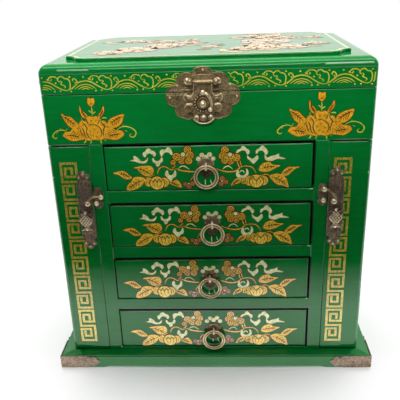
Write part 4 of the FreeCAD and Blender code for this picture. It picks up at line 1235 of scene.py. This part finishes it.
def nail(metal, x, z, face_y, radius=1.0, look="bright_brass"):
    metal.ball((x, face_y - radius * 0.15, z), radius, look, squash=(1, 0.6, 1), around=12, rings=6)


def ring_pull(number):
    """The hanging ring, beaded inside and out with a groove between."""
    low, high = node_box("drawer_{}_ring".format(number))
    centre = (low + high) / 2
    mid = (high[0] - low[0]) / 2 - 1.7
    metal = Metal("drawer_{}_ring_pull".format(number), "ring_{}".format(number))
    around, section = 56, 28
    points, faces = [], []
    for i in range(around):
        angle = 2 * math.pi * i / around
        out = np.array([math.cos(angle), 0, math.sin(angle)])
        for k in range(section):
            phi = 2 * math.pi * k / section
            groove = 1 - 0.42 * math.exp(-(math.cos(phi) / 0.22) ** 2)
            radial = 1.72 * math.cos(phi)
            forward = 1.42 * math.sin(phi) * groove
            points.append(centre + out * (mid + radial) + np.array([0, forward, 0]))
    for i in range(around):
        j = (i + 1) % around
        for k in range(section):
            m = (k + 1) % section
            faces.append([i * section + k, i * section + m, j * section + m, j * section + k])
    metal.add(points, faces, "brass", smooth=True)
    # the two beads take the paler ring brass: painted highlight on the ring's rims
    for offset, thick in ((-1.15, 0.50), (1.15, 0.62)):
        reach = mid + offset
        metal.tube([(centre[0] + reach * math.cos(a), centre[1] - 1.05, centre[2] + reach * math.sin(a))
                    for a in np.arange(around) * 2 * math.pi / around], thick, "ring_brass", around=6,
                   closed=True, sharp=True)
    metal.done(replaces=["drawer_{}_ring".format(number)])


def pull_plate(number):
    """Petalled plate, domed middle and wire staple for the ring; the lobe below is a guess. The lower petals and
    the lobe take dark brass as painted shade.
    """
    low, high = node_box("drawer_{}_pull_plate".format(number))
    x = (low[0] + high[0]) / 2
    z = (low[2] + high[2]) / 2
    metal = Metal("drawer_{}_pull_rosette".format(number), "drawer_{}".format(number))
    petals = 8
    for i in range(petals):
        angle = 2 * math.pi * (i + 0.5) / petals
        at = (x + 5.7 * math.cos(angle), z + 5.7 * math.sin(angle))
        # petals below the middle take dark brass: painted shade on the plate's lower side
        metal.pillow(DRAWER_FACE, circle(at, 3.0, 16, 0.82, angle + math.pi / 2), 0.0, 1.1,
                     "brass" if at[1] > z else "dark_brass")
    metal.pillow(DRAWER_FACE, circle((x, z), 5.2, 24), 0.0, 1.7, "plate_brass", rings=5)
    # a plate lobe inside the ring, its dark brass a painted shadow of the ring
    metal.pillow(DRAWER_FACE, circle((x, z - 7.6), 4.9, 20), 0.0, 0.7, "dark_brass")
    pivot_y = JOINTS["ring_{}_swing".format(number)]["pos_m"][1] / MM
    arc = []
    for k in range(13):
        angle = math.radians(-55 + 290 * k / 12)
        arc.append((x, pivot_y - 3.1 * math.sin(angle), z + 3.1 * math.cos(angle)))
    metal.tube(arc, 0.9, "bright_brass", around=10, sharp=True)
    metal.done(replaces=["drawer_{}_pull_plate".format(number)])


def lock_fittings():
    """Raised work on the two halves of the cloud plate, the knob and the pin."""
    for half, body in (("upper", "lid"), ("lower", "case")):
        node = "lock_plate_" + half
        metal = Metal("lock_relief_" + half, body)
        edge_z = LID_LOW if half == "upper" else node_box(node)[1][2]
        keep = (lambda p: p[2] > LID_LOW + 0.9) if half == "upper" else (lambda p: p[2] < edge_z - 0.9)
        loop = plate_outline(node)
        line = inset(even(loop, 0.9), 0.45)
        flat = [i for i, p in enumerate(line) if not keep((p[0], 0, p[1]))]
        start = (max(flat) + 1) % len(line) if flat and max(flat) < len(line) - 1 else 0
        ordered = np.roll(line, -start, axis=0)
        run = [(p[0], PLATE_FACE - 0.05, p[1]) for p in ordered if keep((p[0], 0, p[1]))]
        gap = np.linalg.norm(np.diff(np.array(run), axis=0), axis=1)
        if gap.max() > 3:
            cut = int(gap.argmax()) + 1
            run = run[cut:] + run[:cut]
        metal.tube(run, 0.45, "brass", around=6, sharp=True)
        # a fine line along the split, and a bead on the lower edge
        for offset in ((1.6,) if half == "upper" else (0.1, 1.9)):
            z = edge_z + offset if half == "upper" else edge_z - offset
            xs = [p[0] for p in loop if abs(p[1] - edge_z) < 3.0]
            for x0, x1 in ((min(xs) + 1.0, LOCK_X - 9.6), (LOCK_X + 9.8, max(xs) - 1.0)):
                metal.tube([(x0, PLATE_FACE, z), ((x0 + x1) / 2, PLATE_FACE, z), (x1, PLATE_FACE, z)], 0.3,
                           "brass", around=6)
        if half == "upper":
            for x in (LOCK_X - 13.0, LOCK_X + 13.4):
                metal.ball((x, PLATE_FACE - 2.3, 300.3), 3.1, "bright_brass", squash=(1, 0.6, 1))
                metal.ball((x, PLATE_FACE - 4.1, 300.3), 0.9, "brass", squash=(1, 0.6, 1))
            for x, z in ((LOCK_X + 0.6, 309.6), (LOCK_X - 22.6, 296.6), (LOCK_X + 24.0, 296.6)):
                nail(metal, x, z, PLATE_FACE)
            metal.tube([(LOCK_X - 11.0, PLATE_FACE, 304.4), (LOCK_X, PLATE_FACE, 305.6),
                        (LOCK_X + 11.0, PLATE_FACE, 304.4)], 0.3, "brass", around=6)
        else:
            knob_front = node_box("lock_knob")[0][1]
            metal.ball((KNOB[0], knob_front + 1.3, KNOB[2]), 2.7, "bright_brass", squash=(1, 0.7, 1))
            for x, z in ((LOCK_X - 29.6, 286.0), (LOCK_X + 30.2, 286.0)):
                nail(metal, x, z, PLATE_FACE)
        metal.done()


HASP_SHIFT = 0.2
HASP_FACE = -107.9


def hasp_relief():
    """The butterfly tongue: curled wings, a bead ring round the hole and a petalled tail."""
    face_y = HASP_FACE
    face = Face((0, face_y, 0), (1, 0, 0), (0, 0, 1))
    cx = LOCK_X + HASP_SHIFT
    metal = Metal("hasp_relief", "hasp")
    for side in (-1, 1):
        metal.tube([(cx + side * 8.4, face_y, 290.2), (cx + side * 10.4, face_y - 0.2, 287.5),
                    (cx + side * 13.8, face_y - 0.3, 287.7), (cx + side * 15.9, face_y - 0.3, 289.3)],
                   [0.45, 0.65, 0.55], "bright_brass")
        metal.tube([(cx + side * 16.2, face_y - 0.2, 288.8), (cx + side * 17.2, face_y - 0.3, 285.6),
                    (cx + side * 14.8, face_y - 0.2, 282.2)], [0.5, 0.6, 0.4], "bright_brass")
        metal.pillow(face, smooth_line([(cx + side * u, v) for u, v in (
            (9.6, 285.8), (13.0, 286.0), (15.4, 284.6), (13.0, 283.0), (9.8, 282.8))], 4,
            closed=True), 0.0, 0.5, "brass")
        metal.pillow(face, smooth_line([(cx + side * u, v) for u, v in (
            (9.8, 280.2), (13.6, 280.4), (16.6, 277.6), (16.2, 274.4), (13.2, 272.8), (10.4, 274.4),
            (9.0, 277.4))], 4, closed=True), 0.0, 1.3, "brass")
        metal.tube([(cx + side * 10.8, face_y - 0.2, 280.4), (cx + side * 14.6, face_y - 0.5, 280.0),
                    (cx + side * 16.9, face_y - 0.3, 276.8)], [0.4, 0.7, 0.45], "bright_brass")
        metal.tube([(cx + side * 9.4, face_y - 0.1, 271.0), (cx + side * 11.6, face_y - 0.2, 272.6),
                    (cx + side * 13.8, face_y - 0.1, 271.4)], 0.45, "dark_brass")
        metal.pillow(face, circle((cx + side * 6.3, 267.6), 3.0, 18, 0.72, math.pi / 2 - side * 0.35), 0.1,
                     1.4, "brass")
        metal.tube([(cx + side * 8.0, face_y, 297.6), (cx + side * 8.0, face_y, 294.0),
                    (cx + side * 8.1, face_y, 290.6)], 0.3, "bright_brass", around=6)
    # a flat collar round the hole carries the beads
    inner, outer = circle((KNOB[0], KNOB[2]), 4.7, 32), circle((KNOB[0], KNOB[2]), 8.5, 32)
    rows = [face.at(inner, 0.0), face.at(inner, 0.25), face.at(outer, 0.25), face.at(outer, 0.0)]
    n = len(inner)
    faces = [[a * n + i, a * n + (i + 1) % n, (a + 1) % 4 * n + (i + 1) % n, (a + 1) % 4 * n + i]
             for a in range(4) for i in range(n)]
    metal.add(np.vstack(rows), faces, "dark_brass")
    for i in range(18):
        angle = 2 * math.pi * (i + 0.5) / 18
        metal.ball((KNOB[0] + 7.3 * math.cos(angle), face_y - 0.4, KNOB[2] + 7.3 * math.sin(angle)), 0.62,
                   "bright_brass", around=8, rings=5)
    metal.tube([(KNOB[0] + 4.9 * math.cos(a), face_y - 0.2, KNOB[2] + 4.9 * math.sin(a))
                for a in np.arange(28) * 2 * math.pi / 28], 0.4, "brass", around=6, closed=True, sharp=True)
    metal.pillow(face, circle((cx, 267.3), 8.4, 26, 0.56), 0.0, 0.2, "dark_brass", rings=3, flat=0.9)
    metal.pillow(face, circle((cx, 267.4), 3.4, 20, 0.92, 0.0), 0.1, 1.6, "brass")
    metal.ball((cx, face_y - 0.9, 267.9), 2.7, "bright_brass", squash=(1, 0.35, 0.75))
    for side in (-1, 1):
        metal.ball((cx + side * 6.2, face_y - 0.8, 268.3), 2.1, "bright_brass", squash=(1, 0.35, 0.8))
    metal.tube([(cx + 10.0 * math.sin(a), face_y - 0.1, 271.2 - 8.9 * math.cos(a))
                for a in np.linspace(-1.05, 1.05, 19)], 0.55, "bright_brass", around=6, sharp=True)
    metal.done()


def swivel_hook(name, body, node, path, radii, eye_r, tip_r, spur=(), arm_look="brass"):
    """A cast hook: a round eye, a swelling arm and a ball at its tip."""
    metal = Metal(name, body)
    metal.tube(path, radii, arm_look, around=10, steps=8)
    metal.ball(path[0], eye_r, "bright_brass", squash=(1, 0.9, 1))
    metal.ball(path[-1], tip_r, "bright_brass")
    if spur:
        metal.tube(spur, [0.8, 0.5], "brass", around=8)
    metal.done(replaces=[node])


def hooks():
    """The hook on the hasp and the latch hook on each wing."""
    y = -109.1
    swivel_hook("hasp_hook_cast", "hasp_hook", "hasp_hook",
                [(LOCK_X, y, 290.5), (0.6, y, 288.4), (3.6, y, 284.0), (4.6, y, 279.4),
                 (3.2, y - 0.6, 275.2)],
                [1.1, 1.5, 1.3, 1.1, 1.0], 2.3, 2.1, [(3.9, y, 283.2), (2.4, y, 281.6), (1.2, y, 281.0)],
                "bright_brass")
    y = -108.9
    swivel_hook("latch_hook_left_cast", "latch_hook_left", "wing_left_latch_hook",
                [(-116.7, y, 186.3), (-115.4, y, 190.4), (-112.4, y, 192.4), (-108.0, y, 193.2),
                 (-103.5, y, 192.8)], [1.0, 1.4, 1.4, 1.1, 0.9], 2.7, 2.5)
    swivel_hook("latch_hook_right_cast", "latch_hook_right", "wing_right_latch_hook",
                [(117.0, y, 185.0), (117.6, y, 189.4), (115.6, y, 193.8), (111.8, y, 196.4),
                 (107.3, y, 197.2)], [1.0, 1.6, 1.5, 1.1, 0.9], 2.7, 2.5)


def latch_details(side):
    """Rim and chased lines on the long latch plate."""
    node = "wing_{}_latch_plate".format(side)
    metal = Metal("latch_relief_" + side, "wing_" + side)
    low, high = node_box(node)
    x = (low[0] + high[0]) / 2
    loop = plate_outline(node)
    line = inset(even(loop, 0.9), 0.5)
    metal.tube(np.column_stack([line[:, 0], np.full(len(line), PLATE_FACE), line[:, 1]]), 0.55,
               "plate_brass", around=6, closed=True, sharp=True)
    for z, way in ((212.2, 1), (143.0, -1)):
        for u, v, r in ((0.0, 3.2 * way, 2.0), (-4.0, -0.2 * way, 1.9), (4.0, -0.2 * way, 1.9)):
            metal.pillow(FRONT_FACE, circle((x + u, z + v), r, 14), 0.8, 0.7, "brass", rings=3)
            nail(metal, x + u, z + v, PLATE_FACE - 0.6, 0.7)
        for dx in (-1.4, 0.0, 1.4):
            metal.tube([(x + dx, PLATE_FACE, z - 2.0 * way), (x + dx * 2.2, PLATE_FACE - 0.1, z - 5.0 * way),
                        (x + dx * 3.0, PLATE_FACE, z - 8.5 * way)], [0.3, 0.45, 0.2], "brass", around=6)
    for z0, z1 in ((151.0, 156.0), (196.0, 205.0)):
        for dx in (-3.4, 3.4):
            metal.tube([(x + dx, PLATE_FACE, z0), (x + dx * 1.1, PLATE_FACE, (z0 + z1) / 2),
                        (x + dx, PLATE_FACE, z1)], 0.35, "brass", around=6)
    metal.done()


def drop_pull(side):
    """The fish-shaped drop: domed, scaled, with a fanned tail."""
    node = "wing_{}_drop_pull".format(side)
    low, high = node_box(node)
    x = (low[0] + high[0]) / 2
    back_y = -107.2
    face = Face((0, back_y, 0), (1, 0, 0), (0, 0, 1))
    metal = Metal("drop_pull_shape_" + side, "drop_pull_" + side)
    body = smooth_line([(x + u, v) for u, v in (
        (0, 176.0), (2.4, 174.6), (5.4, 175.2), (7.4, 172.6), (6.4, 169.8), (6.2, 166.6), (4.2, 163.4),
        (1.8, 161.6), (-1.8, 161.6), (-4.2, 163.4), (-6.2, 166.6), (-6.4, 169.8), (-7.4, 172.6),
        (-5.4, 175.2), (-2.4, 174.6))], 4, closed=True)
    metal.pillow(face, body, 0.0, 2.0, "plate_brass", rings=6)
    tail = smooth_line([(x + u, v) for u, v in (
        (-1.8, 163.0), (1.8, 163.0), (2.6, 160.2), (5.6, 157.4), (1.8, 158.0), (0, 156.9), (-1.8, 158.0),
        (-5.6, 157.4), (-2.6, 160.2))], 4, closed=True)
    metal.pillow(face, tail, 0.0, 1.5, "bright_brass", rings=4, flat=0.3)

    def skin(u, v):
        """A point lying on the domed body."""
        reach = min(1.0, math.hypot(u / 6.9, (v - 168.0) / 6.6))
        return (x + u, back_y - 0.5 - 1.5 * math.sqrt(max(0.0, 1 - reach ** 2)), v)

    for lean in (-1, 1):
        for offset in (-6.0, -3.0, 0.0, 3.0, 6.0):
            run = []
            for v in np.linspace(162.4, 173.6, 15):
                u = offset + lean * 0.8 * (v - 168.0)
                if math.hypot(u / 6.3, (v - 168.0) / 5.9) < 1:
                    run.append(skin(u, v))
            if len(run) > 2:
                metal.tube(run, 0.42, "bright_brass", around=5, sharp=True)
    metal.tube([skin(-4.2, 172.4), skin(0, 171.2), skin(4.2, 172.4)], 0.4, "bright_brass", around=6)
    for u in (-2.0, 0.0, 2.0):
        metal.tube([(x + u * 0.7, back_y - 1.2, 162.4), (x + u, back_y - 1.35, 160.0),
                    (x + u * 1.5, back_y - 0.9, 157.6)], 0.3, "brass", around=5)
    pin = JOINTS["drop_pull_{}_swing".format(side)]["pos_m"]
    metal.tube([(x, pin[1] / MM, 173.8), (x, pin[1] / MM, pin[2] / MM)], 1.0, "brass", around=8, sharp=True)
    metal.ball((x, pin[1] / MM - 0.4, pin[2] / MM), 1.55, "bright_brass")
    metal.done(replaces=[node])


# ---- openings, wear and linings --------------------------------------------
def slab(build, low, high, look):
    """A thin rectangular layer between two corners."""
    points = [(x, y, z) for z in (low[2], high[2]) for y in (low[1], high[1]) for x in (low[0], high[0])]
    faces = [[0, 2, 3, 1], [4, 5, 7, 6], [0, 1, 5, 4], [1, 3, 7, 5], [3, 2, 6, 7], [2, 0, 4, 6]]
    build.add(points, faces, look)


# painted shade in the drawer gaps: how thick the black layers are and how far back they reach
SHADE_LAYER = 0.12
SHADE_BACK = -96.2
DRAWER_HEAD_GAP = 2.2


def gap_shade_layers():
    """Painted shade: black layers that deepen the gaps round the drawers; a look, not a known finish."""
    sides = Build("opening_painted_shade", "case", "lacquer")
    for number in DRAWERS:
        low, high = node_box("drawer_{}_front".format(number))
        for x in (-OPENING_HALF, OPENING_HALF - SHADE_LAYER):
            slab(sides, (x, FRONT + 0.7, low[2] - 0.3), (x + SHADE_LAYER, SHADE_BACK, high[2] + 2.0), "patina_and_gap_shade")
        front = Build("drawer_{}_edge_stain".format(number), "drawer_{}".format(number), "lacquer")
        edge_y = DRAWER_Y + 0.9
        slab(front, (low[0] + 0.3, edge_y, high[2] - 0.01), (high[0] - 0.3, SHADE_BACK, high[2] + SHADE_LAYER),
             "patina_and_gap_shade")
        for x0, x1 in ((low[0] - SHADE_LAYER, low[0] + 0.01), (high[0] - 0.01, high[0] + SHADE_LAYER)):
            slab(front, (x0, edge_y, low[2] + 0.3), (x1, SHADE_BACK, high[2] - 0.3), "patina_and_gap_shade")
        front.done()
    sides.done()


def edge_highlight_line(painting, start, end, seed, width=0.32, look="tan"):
    """A painted highlight: a faint pale line along an edge, in uneven lengths like rubbed paint."""
    start, end = np.array(start, dtype=float), np.array(end, dtype=float)
    length = np.linalg.norm(end - start)
    along = 2.0
    step = 0
    while along < length - 4:
        run = 26.0 + 30.0 * abs(math.sin(seed + 1.7 * step))
        stop = min(along + run, length - 1)
        a, b = start + (end - start) * along / length, start + (end - start) * stop / length
        painting.stroke([a, (a + b) / 2, b], width * (0.7 + 0.5 * abs(math.sin(seed + step))), look, 0,
                        steps=2, taper=(0.2, 0.2))
        along = stop + 0.8 + 5.0 * abs(math.cos(seed * 1.3 + step))
        step += 1


CHIP = [(-2.6, 0.1), (-1.9, 0.6), (-0.4, 0.35), (0.8, 0.75), (2.2, 0.5), (2.7, -0.1), (1.2, -0.45),
        (-0.6, -0.25), (-1.8, -0.5)]


def opening_shadows():
    """Painted shadow: black lines that widen the look of the gaps above and right of each drawer.

    Another lies behind the split of the lock plate. They are painted, not real gaps.
    """
    painting = Painting("opening_painted_shadows", "case", FRONT_FACE)

    def dark_line(start, end, width, fullness):
        middle = ((start[0] + end[0]) / 2, (start[1] + end[1]) / 2)
        painting.stroke([start, middle, end], width, "patina_and_gap_shade", 0, steps=2, taper=(fullness, fullness))

    # painted shade behind the lock plate's split
    dark_line((LOCK_X - 30.0, 289.4), (LOCK_X + 30.0, 289.4), 1.0, 0.9)
    for number in DRAWERS:
        low, high = node_box("drawer_{}_front".format(number))
        top = high[2] + DRAWER_HEAD_GAP
        dark_line((-OPENING_HALF + 0.4, top + 0.55), (OPENING_HALF - 0.4, top + 0.55), 1.1, 0.8)
        dark_line((OPENING_HALF + 0.4, low[2] + 1.0), (OPENING_HALF + 0.4, top), 0.8, 0.8)
    painting.done()


def chips_and_edge_highlights():
    """Small chips at the corners of the openings, and painted highlights along top edges."""
    painting = Painting("opening_chips", "case", FRONT_FACE)
    for x, z, size, turn in ((95.6, 196.4, 0.9, 0.0), (96.0, 136.9, 0.7, 0.1), (95.4, 77.4, 0.6, 0.0),
                             (-96.2, 184.4, 0.5, 1.4), (-96.4, 125.2, 0.5, 0.2), (98.6, 66.4, 0.5, 1.5),
                             (-98.5, 19.4, 0.6, 1.5)):
        painting.fill(placed(CHIP, x, z, size * 0.8, turn), "chip")
    painting.done()
    for number in DRAWERS:
        low, high = node_box("drawer_{}_front".format(number))
        painting = Painting("drawer_{}_rubbed_edge".format(number), "drawer_{}".format(number), DRAWER_FACE)
        # painted highlight along the drawer front's top edge
        z = high[2] - 0.85
        edge_highlight_line(painting, (low[0] + 1, z), (high[0] - 1, z), number + 3, 0.28, "edge_highlight")
        painting.done()
    for side, sign in (("left", -1), ("right", 1)):
        painting = Painting("wing_{}_chips".format(side), "wing_" + side, FRONT_FACE)
        edge_highlight_line(painting, (sign * 112.5, 241.5), (sign * 146.0, 241.5), 5, 0.4, "edge_highlight")
        for z, size in ((212.0, 0.8), (238.6, 0.5), (96.0, 0.4)):
            painting.fill(placed(CHIP, sign * 147.6, z, size * 0.5, math.pi / 2), "chip")
        painting.done()
    painting = Painting("tray_edge_highlight", "case", FRONT_FACE)
    edge_highlight_line(painting, (112.0, 244.2), (146.0, 244.2), 3, 0.4, "edge_highlight")
    edge_highlight_line(painting, (-146.0, 244.2), (-112.0, 244.2), 7, 0.3, "edge_highlight")
    painting.done()


def soft_pad(name, body, low, high, fill=0.6, power=14.0, crown=0.35, count=(36, 24, 6), replaces=()):
    """A stuffed pad: rounded all round, fuller in its middle, lightly puckered at its edges."""
    low, high = np.array(low, dtype=float), np.array(high, dtype=float)
    centre, half = (low + high) / 2, (high - low) / 2
    thin = int(np.argmin(half))
    points, faces, seen = [], [], {}

    def vertex(a, b, c):
        cube = np.sin(np.array([a / count[0], b / count[1], c / count[2]]) * math.pi - math.pi / 2)
        key = (a, b, c)
        if key not in seen:
            spread = np.sum(np.abs(cube) ** power) ** (1 / power)
            place = cube / max(spread, 1e-6)
            flat = [k for k in range(3) if k != thin]
            swell = (1 - abs(place[flat[0]]) ** 4) * (1 - abs(place[flat[1]]) ** 4)
            at = centre + half * place
            pucker = noise.noise(Vector(at * 0.09)) + 0.5 * noise.noise(Vector(at * 0.25))
            at[thin] = centre[thin] + half[thin] * place[thin] * (1 - crown + crown * swell + 0.10 * pucker)
            seen[key] = len(points)
            points.append(at)
        return seen[key]

    nx, ny, nz = count
    for i in range(nx):
        for j in range(ny):
            faces.append([vertex(i, j, 0), vertex(i, j + 1, 0), vertex(i + 1, j + 1, 0), vertex(i + 1, j, 0)])
            faces.append([vertex(i, j, nz), vertex(i + 1, j, nz), vertex(i + 1, j + 1, nz),
                          vertex(i, j + 1, nz)])
    for i in range(nx):
        for k in range(nz):
            faces.append([vertex(i, 0, k), vertex(i + 1, 0, k), vertex(i + 1, 0, k + 1), vertex(i, 0, k + 1)])
            faces.append([vertex(i, ny, k), vertex(i, ny, k + 1), vertex(i + 1, ny, k + 1),
                          vertex(i + 1, ny, k)])
    for j in range(ny):
        for k in range(nz):
            faces.append([vertex(0, j, k), vertex(0, j, k + 1), vertex(0, j + 1, k + 1), vertex(0, j + 1, k)])
            faces.append([vertex(nx, j, k), vertex(nx, j + 1, k), vertex(nx, j + 1, k + 1),
                          vertex(nx, j, k + 1)])
    pad = Build(name, body, "lining")
    pad.add(points, faces, "lining", smooth=True)
    piece = pad.done(replaces=replaces)


def ring_roll(index, low_x, high_x, y, z, radius):
    """A stuffed roll, gathered at both ends, resting flat on the tray's pad."""
    around, along = 24, 60
    points, faces = [], []
    for i in range(along + 1):
        t = math.sin((i / along - 0.5) * math.pi)
        reach = (1 - abs(t) ** 24) ** 0.5 if abs(t) < 1 else 0.0
        x = (low_x + high_x) / 2 + t * (high_x - low_x) / 2
        for k in range(around):
            angle = 2 * math.pi * k / around
            wrinkle = 1 + 0.025 * noise.noise(Vector((x * 0.08, 3.0 * math.cos(angle), index * 5.0)))
            gather = 1 - 0.05 * abs(t) ** 10 * math.cos(6 * angle)
            r = max(radius * reach * wrinkle * gather, 0.15)
            points.append((x, y + r * math.cos(angle), max(z + r * math.sin(angle), z - radius + 0.15)))
    for i in range(along):
        for k in range(around):
            m = (k + 1) % around
            faces.append([i * around + k, (i + 1) * around + k, (i + 1) * around + m, i * around + m])
    faces.append(list(range(around)))
    faces.append([along * around + k for k in range(around)][::-1])
    roll = Build("ring_roll_{}".format(index + 1), "case", "lining")
    roll.add(points, faces, "lining", smooth=True)
    piece = roll.done(replaces=["ring_rolls"])


def linings():
    """Velvet-covered padding in the tray and the drawers."""
    low, high = node_box("tray_lining")
    pad = 2.5
    base, wall_top, divider_top = low[2] + pad, high[2], high[2] - 8.0
    inner = (low[0] + pad, low[1] + pad, high[0] - pad, high[1] - pad)
    tray = {"replaces": ["tray_lining"]}
    soft_pad("tray_pad_front", "case", (inner[0], inner[1], low[2]), (inner[2], -2.0, base), **tray)
    soft_pad("tray_pad_rear_left", "case", (inner[0], 2.0, low[2]), (28.0, inner[3], base), **tray)
    soft_pad("tray_pad_rear_right", "case", (32.0, 2.0, low[2]), (inner[2], inner[3], base), **tray)
    soft_pad("tray_wall_front", "case", (low[0], low[1], low[2]), (high[0], inner[1], wall_top),
             count=(48, 6, 14), **tray)
    soft_pad("tray_wall_back", "case", (low[0], inner[3], low[2]), (high[0], high[1], wall_top),
             count=(48, 6, 14), **tray)
    soft_pad("tray_wall_left", "case", (low[0], inner[1], low[2]), (inner[0], inner[3], wall_top),
             count=(6, 36, 14), **tray)
    soft_pad("tray_wall_right", "case", (inner[2], inner[1], low[2]), (high[0], inner[3], wall_top),
             count=(6, 36, 14), **tray)
    soft_pad("tray_divider_across", "case", (inner[0], -2.0, low[2]), (inner[2], 2.0, divider_top),
             count=(48, 6, 12), **tray)
    soft_pad("tray_divider_rear", "case", (28.0, 2.0, low[2]), (32.0, inner[3], divider_top),
             count=(6, 30, 12), **tray)
    low, high = node_box("ring_rolls")
    radius = 6.0
    for index in range(7):
        y = low[1] + radius + index * (2 * radius + 0.8)
        ring_roll(index, low[0], high[0], y, low[2] + radius, radius)
    for number in DRAWERS:
        low, high = node_box("drawer_{}_box".format(number))
        soft_pad("drawer_{}_pad".format(number), "drawer_{}".format(number),
                 (low[0] + 5.2, low[1] + 0.2, low[2] + 3.0), (high[0] - 5.2, high[1] - 5.2, low[2] + 5.4))


# ---- put it together -------------------------------------------------------
make_studio()
dress_nodes()
key_bands()
lid_bands()
tray_flowers()
lid_painting()
wing_sides()
for drawer_number in DRAWERS:
    drawer_motif(drawer_number)
    ring_pull(drawer_number)
    pull_plate(drawer_number)
gap_shade_layers()
opening_shadows()
chips_and_edge_highlights()
linings()
lock_fittings()
hasp_relief()
hooks()
keeper_details()
for side_name in SIDES:
    latch_details(side_name)
    drop_pull(side_name)
